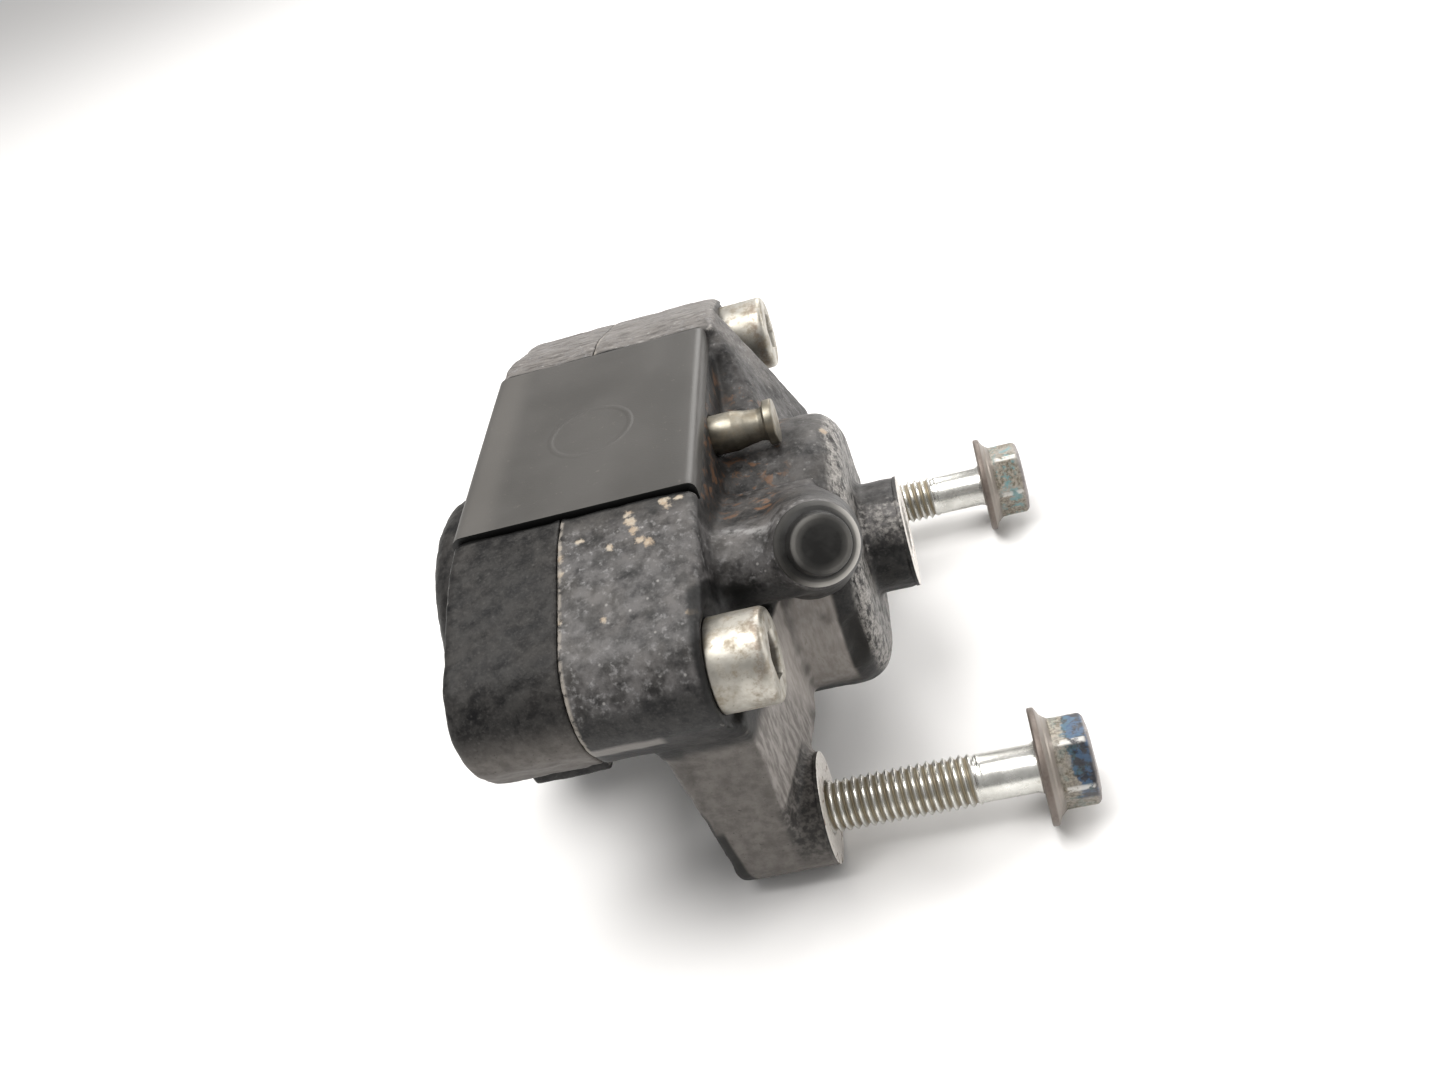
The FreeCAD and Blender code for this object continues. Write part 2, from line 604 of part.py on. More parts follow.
def inboard_half():
    body = new_body("inboard_half")
    bridge(body, "seam_x", "inboard_face_x", "inboard_face_x")
    gusset(body)
    wall(body, "inboard_mouth_x", "inboard_face_x")
    abutments(body, "inboard_mouth_x - abutment_depth", "inboard_mouth_x")
    lug_arms(body)
    housing(body, "inboard_mouth_x", "inboard_end_x", "inboard_end_x")
    near_shoulder(body)
    boss_x(body, "port_boss", "inboard_end_x - 4", "port_face_x", "0", "piston_z", "port_radius")
    window(body, "seam_x - 1", "inboard_mouth_x")
    disc_slot(body, "seam_x - 1", "disc_x + disc_gap / 2")
    below_cover = "cover_top_z - cover_thickness - cover_gap"
    cover_seat(body, "cover_seat", "seam_x - 1", "inboard_end_x", below_cover)
    lip_gap = "cover_right_x - cover_thickness - cover_gap"
    cover_seat(body, "cover_lip_seat", lip_gap, "inboard_end_x", "cover_hook_z - cover_gap")
    bore(body, "inboard_mouth_x", "1", "inboard_end_x - end_wall")
    for side, across in (("near", "-bolt_y"), ("far", "bolt_y")):
        drill_x(body, f"clearance_{side}", "seam_x - 1", "inboard_face_x + 1", across, "bolt_z",
                "bolt_clearance_radius")
    for side, across, seat in (("near", "-bolt_y", "bolt_seat_x"), ("far", "bolt_y", "bolt_seat_far_x")):
        drill_x(body, f"spot_face_{side}", seat, "port_face_x", across, "bolt_z", "spot_radius")
    for side, across in (("near", "-lug_y"), ("far", "lug_y")):
        drill_x(body, f"lug_hole_{side}", "lug_back_x - 1", "1", across, "0", "lug_hole_radius")
    drill_x(body, "pin_hole", "inboard_mouth_x - 1", "inboard_face_x + 1", "0", "pin_z",
            "pin_collar_radius + pin_play")
    drill_x(body, "port_thread", "port_face_x - port_thread_depth", "port_face_x + 1", "0", "piston_z",
            "port_hole_radius")
    drill_x(body, "port_drilling", "inboard_end_x - end_wall - 1", "port_face_x - 2", "0", "piston_z",
            "port_drill_radius")
    drill_x(body, "crossover", "seam_x - 1", "ridge_end_x - 1.5", "ridge_y", "ridge_z", "passage_radius")
    drill_x(body, "ring_pocket", "seam_x - 1", "seam_x + ring_pocket_depth", "ridge_y", "ridge_z",
            "ring_pocket_radius")
    bleed_drillings(body)


def place(body, x, y, z):
    """Binds the body's place to expressions."""
    for axis, expression in (("x", x), ("y", y), ("z", z)):
        body.setExpression(f"Placement.Base.{axis}", cell(expression))


def piston(label, front, back, cup_faces_plus_x):
    """A steel cup that slides in the bore; its open end bears on the pad."""
    body = new_body(label)
    outer = "bore_radius - piston_clearance"
    floor = f"{back} + piston_floor" if cup_faces_plus_x else f"{back} - piston_floor"
    revolve(body, "cup", [
        (back, "0"),
        (back, f"{outer} - 1"),
        (f"{back} + 1" if cup_faces_plus_x else f"{back} - 1", outer),
        (front, outer),
        (front, "piston_cup_radius"),
        (floor, "piston_cup_radius"),
        (floor, "0"),
    ])
    place(body, "0", "0", "piston_z")


def seal(label, mouth, outward, offset, width, radius):
    body = new_body(label)
    sign = "-" if outward else "+"
    near = f"{mouth} {sign} ( {offset} + seal_side_gap )"
    far = f"{mouth} {sign} ( {offset} + {width} - seal_side_gap )"
    revolve(body, "ring", [
        (near, "bore_radius"),
        (near, f"{radius} - seal_side_gap"),
        (far, f"{radius} - seal_side_gap"),
        (far, "bore_radius"),
    ])
    place(body, "0", "0", "piston_z")


def seals():
    sides = (("outboard", "outboard_mouth_x", True), ("inboard", "inboard_mouth_x", False))
    for side, mouth, outward in sides:
        seal(f"{side}_dust_seal", mouth, outward, "dust_groove_offset", "dust_groove_width",
             "dust_groove_radius")
        seal(f"{side}_pressure_seal", mouth, outward, "seal_groove_offset", "seal_groove_width",
             "seal_groove_radius")


def crossover_ring():
    ring = doc.addObject("Part::Torus", "crossover_o_ring")
    ring.Label = "crossover_o_ring"
    ring.setExpression("Radius1", cell("ring_pocket_radius - ring_wire"))
    ring.setExpression("Radius2", cell("ring_wire"))
    ring.Placement.Rotation = FreeCAD.Rotation(Vector(0, 1, 0), 90)
    place(ring, "seam_x + ring_wire", "ridge_y", "ridge_z")


def pad_backing(label, start, end):
    """A steel plate that hangs on the pad pin by its tab."""
    body = new_body(label)
    side = [
        ("pad_tab_half_y", "pad_tab_z"),
        ("pad_tab_half_y", "pad_shoulder_z"),
        ("pad_half_y", "pad_shoulder_z"),
        ("pad_half_y", "pad_foot_z + pad_corner"),
        ("pad_half_y - pad_corner", "pad_foot_z"),
    ]

    def draw(sketch):
        polygon(sketch, side + [("- ( " + a + " )", b) for a, b in reversed(side)])
        circle(sketch, "0", "pin_z", "pad_hole_radius")

    pad_x(body, "plate", start, end, draw)


def pad_lining(label, start, end, groove_start, groove_end):
    body = new_body(label)
    side = [
        ("lining_half_y", "lining_top_z - 4"),
        ("lining_half_y", "lining_foot_z + pad_corner"),
        ("lining_half_y - pad_corner", "lining_foot_z"),
    ]
    other = [("- ( " + a + " )", b) for a, b in reversed(side)]
    corners = [("lining_half_y * 0.6", "lining_top_z")] + side + other
    corners += [("-lining_half_y * 0.6", "lining_top_z")]
    pad_x(body, "block", start, end, lambda sketch: polygon(sketch, corners))
    slot = [
        ("lining_groove / 2", "0"),
        ("lining_groove / 2", "60"),
        ("-lining_groove / 2", "60"),
        ("-lining_groove / 2", "0"),
    ]
    cut_x(body, "dust_groove", groove_start, groove_end, lambda sketch: polygon(sketch, slot))


def pads_and_pistons():
    disc_left = "disc_x - disc_thickness / 2 - pad_gap"
    left_back = f"{disc_left} - lining_thickness"
    left_front = f"{left_back} - backing_thickness"
    pad_lining("outboard_pad_lining", left_back, disc_left,
               f"{disc_left} - lining_groove_depth", f"{disc_left} + 1")
    pad_backing("outboard_pad_backing", left_front, left_back)
    piston("outboard_piston", f"{left_front} - piston_play", "outboard_end_x + end_wall + 1", True)
    disc_right = "disc_x + disc_thickness / 2 + pad_gap"
    right_back = f"{disc_right} + lining_thickness"
    right_front = f"{right_back} + backing_thickness"
    pad_lining("inboard_pad_lining", disc_right, right_back,
               f"{disc_right} - 1", f"{disc_right} + lining_groove_depth")
    pad_backing("inboard_pad_backing", right_back, right_front)
    piston("inboard_piston", f"{right_front} + piston_play", "inboard_end_x - end_wall - 1.5", False)


def pad_pin():
    """The pin that the pads hang on, with a grip disc on its free end."""
    body = new_body("pad_pin")
    revolve(body, "pin", [
        ("pin_tip_x", "0"),
        ("pin_tip_x", "pin_radius - 0.8"),
        ("pin_tip_x + 1.2", "pin_radius"),
        ("inboard_mouth_x - 0.4", "pin_radius"),
        ("inboard_mouth_x + 0.4", "pin_collar_radius"),
        ("inboard_mouth_x + 1.0", "pin_collar_radius"),
        ("inboard_mouth_x + 1.0", "pin_radius"),
        ("inboard_mouth_x + 3.4", "pin_radius"),
        ("inboard_mouth_x + 3.4", "pin_collar_radius"),
        ("-1.4", "pin_collar_radius"),
        ("0.6", "pin_waist_radius + 0.25"),
        ("2.6", "pin_waist_radius"),
        ("3.5", "pin_waist_radius + 0.3"),
        ("3.6", "pin_head_radius - 0.2"),
        ("3.8", "pin_head_radius"),
        ("pin_head_x - 0.3", "pin_head_radius"),
        ("pin_head_x", "pin_head_radius - 0.3"),
        ("pin_head_x", "0"),
    ])
    place(body, "0", "0", "pin_z")


def pin_sleeve():
    """A split spring ring in the pin's groove, which grips the inboard wall."""
    body = new_body("pad_pin_spring_sleeve")
    start, end = "inboard_mouth_x + 1.1", "inboard_mouth_x + 3.3"
    revolve(body, "ring", [
        (start, "pin_radius + 0.02"),
        (start, "pin_collar_radius"),
        (end, "pin_collar_radius"),
        (end, "pin_radius + 0.02"),
    ])
    slit = [
        ("-sleeve_gap / 2", "0"),
        ("sleeve_gap / 2", "0"),
        ("sleeve_gap / 2", "pin_collar_radius + 1"),
        ("-sleeve_gap / 2", "pin_collar_radius + 1"),
    ]
    cut_x(body, "slit", f"{start} - 1", f"{end} + 1", lambda sketch: polygon(sketch, slit))
    place(body, "0", "0", "pin_z")


def pad_spring():
    """A flat H of spring steel under the pin, which presses on the shoulders of both pads."""
    body = new_body("pad_spring")
    quarter = [
        ("spring_half_x", "spring_half_y"),
        ("spring_half_x", "spring_waist_y"),
        ("spring_waist_x", "spring_waist_y"),
    ]

    def turned(sign_x, sign_y, corners):
        return [(sign_x + a, sign_y + b) for a, b in corners]

    corners = quarter + turned("", "-", reversed(quarter))
    corners += turned("-", "-", quarter) + turned("-", "", reversed(quarter))
    sketch = new_sketch(body, "XY_Plane", "leaf_outline", "spring_z")
    polygon(sketch, corners)
    extrude(body, "PartDesign::Pad", sketch, "leaf", "spring_thickness")
    place(body, "disc_x", "0", "0")


def pad_cover():
    """A sprung plastic sheet over the window, with a lip down each side."""
    body = new_body("pad_cover")
    sketch = new_sketch(body, "XZ_Plane", "section")
    inner_top = "cover_top_z - cover_thickness"
    polygon(sketch, [
        ("cover_left_x", "cover_lip_z"),
        ("cover_left_x", "cover_top_z"),
        ("cover_right_x", "cover_top_z"),
        ("cover_right_x", "cover_hook_z"),
        ("cover_right_x - cover_thickness", "cover_hook_z"),
        ("cover_right_x - cover_thickness", inner_top),
        ("cover_left_x + cover_thickness", inner_top),
        ("cover_left_x + cover_thickness", "cover_lip_z"),
    ])
    extrude(body, "PartDesign::Pad", sketch, "sheet", "cover_half_y * 2", False, True)

    def bend(edge, places):
        ends = [vertex.Point for vertex in edge.Vertexes]
        if abs(ends[0].y - ends[-1].y) < 1:
            return False
        return any(abs(ends[0].x - x) < 0.01 and abs(ends[0].z - z) < 0.01 for x, z in places)

    outer = [(value("cover_left_x"), value("cover_top_z")), (value("cover_right_x"), value("cover_top_z"))]
    round_edges(body, "outer_bends", "cover_round", lambda edge: bend(edge, outer))
    left = value("cover_left_x + cover_thickness")
    right = value("cover_right_x - cover_thickness")
    inner = [(left, value(inner_top)), (right, value(inner_top))]
    round_edges(body, "inner_bends", "cover_round - cover_thickness", lambda edge: bend(edge, inner))


HEXAGON_CORNER = 0.57735  # corner radius over the size across flats


def hexagon(sketch, across_flats):
    """A hexagon round the sketch origin, with two corners on the vertical axis."""
    corner = f"{across_flats} * {HEXAGON_CORNER}"
    flat = f"{across_flats} / 2"
    polygon(sketch, [
        ("0", corner),
        (f"-{flat}", f"{corner} / 2"),
        (f"-{flat}", f"-{corner} / 2"),
        ("0", f"-{corner}"),
        (flat, f"-{corner} / 2"),
        (flat, f"{corner} / 2"),
    ])


def bridge_bolt(label, seat, across):
    """M8 socket head cap screw, with its head on +X."""
    body = new_body(label)
    revolve(body, "turned", [
        ("-bolt_length", "0"),
        ("-bolt_length", "bolt_radius - 1"),
        ("-bolt_length + 1", "bolt_radius"),
        ("0", "bolt_radius"),
        ("0", "bolt_head_radius"),
        ("bolt_head_height - 0.8", "bolt_head_radius"),
        ("bolt_head_height", "bolt_head_radius - 0.8"),
        ("bolt_head_height", "0"),
    ])
    cut_x(body, "socket", "bolt_head_height - bolt_socket_depth", "bolt_head_height + 1",
          lambda sketch: hexagon(sketch, "bolt_socket"))
    place(body, seat, across, "bolt_z")


def mounting_bolt(label, flange, across):
    """M8 hexagon flange bolt, with its head on +X."""
    body = new_body(label)
    revolve(body, "turned", [
        ("-mount_bolt_length", "0"),
        ("-mount_bolt_length", "mount_bolt_radius - 1"),
        ("-mount_bolt_length + 1", "mount_bolt_radius"),
        ("-mount_bolt_length + mount_thread_length", "mount_bolt_radius"),
        ("-mount_bolt_length + mount_thread_length + 2", "mount_shank_radius"),
        ("0", "mount_shank_radius"),
        ("0", "flange_radius"),
        ("flange_rim", "flange_radius"),
        ("flange_cone_height", "head_hex / 2"),
        ("head_height", "head_hex / 2"),
        ("head_height", "0"),
    ])
    pad_x(body, "hexagon", "flange_rim", "head_height", lambda sketch: hexagon(sketch, "head_hex"))
    revolve(body, "chamfer", [
        ("head_height + 0.01", "head_hex / 2 - 0.4"),
        ("head_height + 0.01", "head_hex"),
        ("head_height - 3", "head_hex"),
    ], "PartDesign::Groove")
    body.Placement.Rotation = FreeCAD.Rotation(Vector(1, 0, 0), value("mount_bolt_turn"))
    place(body, flange, across, "0")


def bleed_parts():
    """The bleed screw and its dust cap, drawn along X and then turned onto the bleed axis."""
    point, direction = bleed_axis()
    seat = point + direction * value("bleed_boss_top")
    turn = FreeCAD.Rotation(Vector(1, 0, 0), direction)
    screw = new_body("bleed_screw")
    revolve(screw, "turned", [
        ("-bleed_hole_depth + 0.4", "0"),
        ("-bleed_hole_depth + 0.4", "1.2"),
        ("-bleed_hole_depth + 3.2", "bleed_screw_radius"),
        ("0", "bleed_screw_radius"),
        ("0.6", "bleed_hex / 2"),
        ("3.0", "bleed_hex / 2"),
        ("3.0", "2.1"),
        ("4.6", "2.1"),
        ("4.6", "2.9"),
        ("5.4", "2.9"),
        ("7.4", "2.2"),
        ("7.4", "0"),
    ])
    pad_x(screw, "hexagon", "0.6", "3", lambda sketch: hexagon(sketch, "bleed_hex"))
    drill_x(screw, "fluid_hole", "-4", "8", "0", "0", "0.9")
    cap = new_body("bleed_cap")
    revolve(cap, "cap", [
        ("0.4", "4.95"),
        ("0.4", "cap_base_radius - 0.3"),
        ("0.9", "cap_base_radius"),
        ("cap_rim", "cap_base_radius"),
        ("cap_rim + 0.7", "cap_base_radius - 0.6"),
        ("cap_rim + 1.3", "cap_tip_radius + 0.25"),
        ("cap_length - 0.6", "cap_tip_radius"),
        ("cap_length", "cap_tip_radius - 0.6"),
        ("cap_length", "0"),
        ("cap_length - 1.2", "0"),
        ("cap_length - 1.2", "2.95"),
        ("3.2", "2.95"),
        ("3.2", "4.95"),
    ])
    for body in (screw, cap):
        body.Placement = FreeCAD.Placement(seat, turn)


def build():
    fill_sheet()
    outboard_half()
    inboard_half()
    pads_and_pistons()
    seals()
    crossover_ring()
    pad_pin()
    pin_sleeve()
    pad_spring()
    pad_cover()
    bridge_bolt("bridge_bolt_near", "bolt_seat_x", "-bolt_y")
    bridge_bolt("bridge_bolt_far", "bolt_seat_far_x", "bolt_y")
    bleed_parts()
    mounting_bolt("mounting_bolt_near", "mount_bolt_near_x", "-lug_y")
    mounting_bolt("mounting_bolt_far", "mount_bolt_far_x", "lug_y")
    doc.recompute()


def check():
    """Stops if any object failed or any sub-part's shape is empty, invalid or in pieces."""
    for item in doc.Objects:
        if {"Invalid", "Error"} & set(item.State):
            raise RuntimeError(f"{item.Label} is {item.State}")
    parts = [item for item in doc.Objects if item.TypeId in ("PartDesign::Body", "Part::Torus")]
    for item in parts:
        if item.Shape.isNull() or not item.Shape.isValid():
            raise RuntimeError(f"{item.Label} has no valid shape")
        if len(item.Shape.Solids) != 1:
            raise RuntimeError(f"{item.Label} has {len(item.Shape.Solids)} solids")
    return parts


def export(parts):
    os.makedirs("parts", exist_ok=True)
    for item in parts:
        item.Shape.exportStep(f"parts/{item.Label}.step")
        box = item.Shape.BoundBox
        low = f"{box.XMin:.1f} {box.YMin:.1f} {box.ZMin:.1f}"
        high = f"{box.XMax:.1f} {box.YMax:.1f} {box.ZMax:.1f}"
        print(f"{item.Label}: {item.Shape.Volume:.0f} mm3, {low} to {high}")


build()
export(check())
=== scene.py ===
import json
import math

import bmesh
import bpy
import numpy as np
from mathutils import Matrix, Vector


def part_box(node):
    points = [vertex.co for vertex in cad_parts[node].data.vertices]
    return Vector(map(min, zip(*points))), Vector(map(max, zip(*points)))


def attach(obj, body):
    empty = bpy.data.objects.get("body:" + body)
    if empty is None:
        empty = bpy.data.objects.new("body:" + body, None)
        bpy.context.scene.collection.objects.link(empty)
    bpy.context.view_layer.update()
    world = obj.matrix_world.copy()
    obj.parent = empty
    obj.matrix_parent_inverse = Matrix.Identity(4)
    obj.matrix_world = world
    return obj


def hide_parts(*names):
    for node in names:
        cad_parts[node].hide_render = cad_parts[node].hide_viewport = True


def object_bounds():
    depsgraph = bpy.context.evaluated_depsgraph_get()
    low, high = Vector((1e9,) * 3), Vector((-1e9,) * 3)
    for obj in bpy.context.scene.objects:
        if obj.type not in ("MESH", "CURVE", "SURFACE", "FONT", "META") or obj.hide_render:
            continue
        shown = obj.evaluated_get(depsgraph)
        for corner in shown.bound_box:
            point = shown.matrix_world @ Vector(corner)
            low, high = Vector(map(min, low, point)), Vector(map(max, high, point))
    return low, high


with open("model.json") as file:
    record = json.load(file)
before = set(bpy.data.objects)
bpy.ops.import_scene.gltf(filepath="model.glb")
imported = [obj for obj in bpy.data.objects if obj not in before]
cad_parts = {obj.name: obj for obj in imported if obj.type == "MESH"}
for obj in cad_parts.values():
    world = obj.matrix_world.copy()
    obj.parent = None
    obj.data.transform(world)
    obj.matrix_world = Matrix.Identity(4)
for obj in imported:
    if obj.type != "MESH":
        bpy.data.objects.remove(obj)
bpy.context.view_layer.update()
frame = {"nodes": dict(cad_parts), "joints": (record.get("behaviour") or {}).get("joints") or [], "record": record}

# Looks of a two-piston brake caliper.  Lengths are millimetres; MM turns them into Blender's metres.
# +X runs towards the fluid port, +Y from the near lug to the far lug, +Z away from the wheel axle.

NODES = frame["nodes"]
MM = 0.001
VOXEL = 0.45  # the castings' remesh

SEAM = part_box("outboard_half")[1].x / MM
PORT_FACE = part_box("inboard_half")[1].x / MM
BORE_Z, BORE_RADIUS = 20.7, 17.0
BORE_LEFT, BORE_RIGHT = -50.0, 9.5  # the closed ends of the two bores
ABOVE_BORE = 39.5
LUG_Y, LUG_RADIUS = 36.0, 8.53
SIDES = ("near", -1), ("far", 1)
SCREW_Y, SCREW_Z = 43.7, 39.2  # the bridge screws
PIN_Z = 46.8  # the pad pin, at Y = 0

# the flange bolts, M8 x 1.25: the length below the flange, and the flange's seat as photographed
PITCH = 1.25
BOLT_LENGTH = 40.0
NEAR_SEAT, FAR_SEAT = 31.6, 33.5
HEX_TURN = math.radians(18)

# the faint ring on the pad cover: x, y and radius
COVER_RING = (-22.1, -2.1, 6.4)

# the waves of the cast skin: random seed, size and height
SKIN_WAVES = ((5, 9.0, 0.05), (6, 3.2, 0.035), (7, 1.3, 0.012))

# pale oxide patches on the inboard half: x, y, z and radius
OXIDE_SPOTS = (
    (-14.4, -25.6, 53.5, 0.5), (-14.1, -27.2, 53.3, 0.65), (-13.6, -28.9, 53.0, 0.6),
    (-12.6, -30.8, 52.6, 0.5), (-11.5, -31.7, 52.4, 0.6), (-9.4, -24.6, 53.6, 0.7),
    (-8.9, -25.9, 53.5, 0.5), (-7.3, -24.6, 53.6, 0.4), (-17.0, -31.1, 52.6, 0.45),
    (-21.4, -28.8, 53.1, 0.35), (-24.3, -29.0, 53.1, 0.35), (-24.2, -31.1, 52.6, 0.5),
    (-24.3, -33.4, 51.9, 0.45), (-24.4, -40.5, 49.5, 0.3), (-6.3, -43.3, 48.6, 0.55),
    (-18.0, -41.7, 49.1, 0.25), (11.0, 2.0, 41.5, 0.7),
)

# middles of the painted shadow above the near bridge screw's head
SCREW_SHADOW_SPOTS = ((-4.6, -37.6, 44.4), (-3.6, -35.2, 42.6), (-2.2, -33.4, 41.2))


# ---- meshes

def set_fields(thing, **fields):
    for field, setting in fields.items():
        setattr(thing, field, setting)
    return thing


def new_piece(name, data, material=None):
    """A new object in the scene, from a mesh, a lamp or a camera."""
    piece = bpy.data.objects.new(name, data)
    bpy.context.scene.collection.objects.link(piece)
    if material is not None:
        data.materials.append(material)
    return piece


def mesh_from(name, points, faces):
    """A mesh from points in millimetres."""
    mesh = bpy.data.meshes.new(name)
    mesh.from_pydata([tuple(p) for p in np.asarray(points, float) * MM], [], faces)
    mesh.validate()
    mesh.update()
    return mesh


def smooth(mesh, angle=None):
    mesh.polygons.foreach_set("use_smooth", [True] * len(mesh.polygons))
    if angle is not None:
        mesh.set_sharp_from_angle(angle=math.radians(angle))


def outward(mesh, weld=None):
    """Turns every face outward, and first joins points that are closer than weld metres."""
    work = bmesh.new()
    work.from_mesh(mesh)
    if weld:
        bmesh.ops.remove_doubles(work, verts=work.verts, dist=weld)
    bmesh.ops.recalc_face_normals(work, faces=work.faces)
    work.to_mesh(mesh)
    work.free()


def welded(node):
    """A copy of a CAD node's mesh with its split corners joined."""
    mesh = NODES[node].data.copy()
    mesh.materials.clear()
    outward(mesh, weld=2e-6)
    return mesh


def apply_modifiers(piece):
    graph = bpy.context.evaluated_depsgraph_get()
    mesh = bpy.data.meshes.new_from_object(piece.evaluated_get(graph))
    piece.modifiers.clear()
    piece.data = mesh


def break_edges(piece, width, segments, limit):
    """Bevels the edges that bend by more than limit degrees; width is in millimetres."""
    set_fields(piece.modifiers.new("bevel", "BEVEL"), width=width * MM, segments=segments,
               limit_method="ANGLE", angle_limit=math.radians(limit))
    apply_modifiers(piece)
    smooth(piece.data, 40)


def settle(piece, body, node):
    """Puts a piece on its body, in place of a CAD node if one is named."""
    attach(piece, body)
    if node:
        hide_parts(node)


def read(items, field, kind=np.float32, width=3):
    """A field of a mesh's points, edges or faces, one row for each."""
    flat = np.empty(len(items) * width, kind)
    items.foreach_get(field, flat)
    return flat.reshape(-1, width)


def positions(mesh):
    """The places of a mesh's points, in millimetres."""
    return read(mesh.vertices, "co").astype(float) / MM


def normals_of(mesh):
    return read(mesh.vertex_normals, "vector").astype(float)


def put(mesh, points):
    """Moves a mesh's points to these places, in millimetres."""
    mesh.vertices.foreach_set("co", (points * MM).astype(np.float32).ravel())
    mesh.update()


def set_relief(mesh, values):
    """Stores a number at each point, for Paint.relief() to read."""
    attribute = mesh.attributes.new("relief", "FLOAT", "POINT")
    attribute.data.foreach_set("value", values.astype(np.float32))


def relaxed(points, edges, weight, rounds, normals=None):
    """Moves points towards their neighbours' mean; with normals, only where the surface is hollow."""
    count = len(points)
    a, b = edges[:, 0], edges[:, 1]
    degree = np.bincount(edges.ravel(), minlength=count)[:, None]
    points = points.copy()
    for _ in range(rounds):
        total = np.empty_like(points)
        for axis in range(3):
            total[:, axis] = np.bincount(a, points[b, axis], count) + np.bincount(b, points[a, axis], count)
        step = total / degree - points
        if normals is not None:
            step *= (np.einsum("ij,ij->i", step, normals) > 0)[:, None]
        points += 0.5 * weight[:, None] * step
    return points


def falloff(distance, near, far):
    """0 up to near, 1 beyond far, smooth in between."""
    t = np.clip((distance - near) / (far - near), 0, 1)
    return t * t * (3 - 2 * t)


def wobble(points, seed, size, strength):
    """A smooth random height for each point, from a few crossed waves of about that size."""
    rng = np.random.default_rng(seed)
    height = np.zeros(len(points))
    for _ in range(26):
        direction = rng.normal(size=3)
        direction /= np.linalg.norm(direction)
        length = size * rng.uniform(0.6, 1.8)
        height += np.sin(points @ direction * (2 * math.pi / length) + rng.uniform(0, 2 * math.pi))
    return height * strength / math.sqrt(13)


def radial(points, y, z):
    """The distance of each point from the line along X through y and z."""
    return np.hypot(points[:, 1] - y, points[:, 2] - z)


# ---- turned pieces

def bridged(rows):
    """Faces between closed rows of point numbers; a row of one point is a pole."""
    faces = []
    for low, high in zip(rows, rows[1:]):
        count = max(len(low), len(high))
        if count == 1:
            continue
        for k in range(count):
            n = (k + 1) % count
            if len(low) == 1:
                faces.append((low[0], high[n], high[k]))
            elif len(high) == 1:
                faces.append((low[k], low[n], high[0]))
            else:
                faces.append((low[k], low[n], high[n], high[k]))
    return faces


def turned(profile, segments, radius_at=None):
    """Points and faces of a body turned about +X; profile is (x, r) from one end on the axis to the other.
    radius_at(angle, x, r) may change a radius, for a hexagon."""
    points, rows = [], []
    angles = [2 * math.pi * k / segments for k in range(segments)]
    for x, r in profile:
        if r < 1e-6:
            rows.append([len(points)])
            points.append((x, 0, 0))
            continue
        rows.append(list(range(len(points), len(points) + segments)))
        for angle in angles:
            reach = radius_at(angle, x, r) if radius_at else r
            points.append((x, reach * math.cos(angle), reach * math.sin(angle)))
    return points, bridged(rows)


def rounded(profile, radii, steps=4):
    """The profile with arcs at its corners; radii gives each corner's radius, 0 for sharp."""
    out = []
    for i, (point, radius) in enumerate(zip(profile, radii)):
        if radius <= 0 or i in (0, len(profile) - 1):
            out.append(point)
            continue
        p, a, b = (np.array(q, float) for q in (point, profile[i - 1], profile[i + 1]))
        u, v = (a - p) / np.linalg.norm(a - p), (b - p) / np.linalg.norm(b - p)
        half = math.acos(np.clip(u @ v, -1, 1)) / 2
        back = min(radius / math.tan(half), 0.49 * np.linalg.norm(a - p), 0.49 * np.linalg.norm(b - p))
        start, end = p + u * back, p + v * back
        for k in range(steps + 1):
            t = k / steps
            q = (1 - t) ** 2 * start + 2 * t * (1 - t) * p + t * t * end
            out.append((float(q[0]), float(q[1])))
    return out


def joined(parts):
    """Several shapes, each its points and faces, as one."""
    points, faces = [], []
    for more_points, more_faces in parts:
        shift = len(points)
        points += list(more_points)
        faces += [tuple(i + shift for i in face) for face in more_faces]
    return points, faces


def axis_matrix(origin, direction=(1, 0, 0)):
    """Takes +X of a turned piece onto direction, from origin in millimetres."""
    turn = Vector((1, 0, 0)).rotation_difference(Vector(direction)).to_matrix().to_4x4()
    return Matrix.Translation(Vector(origin) * MM) @ turn


def finished(name, shape, matrix, material, body, node, angle=38):
    """Makes a piece in place from points and faces, and puts it on its body."""
    mesh = mesh_from(name, *shape)
    outward(mesh)
    mesh.transform(matrix)
    smooth(mesh, angle)
    piece = new_piece(name, mesh, material)
    settle(piece, body, node)
    return piece


def hexagon_reach(across):
    """The radius of a hexagon with slightly blunted corners, for each angle."""
    def reach(angle):
        turn = (angle + math.pi / 6) % (math.pi / 3) - math.pi / 6
        return min(across / 2 / math.cos(turn), across * 0.562)
    return reach


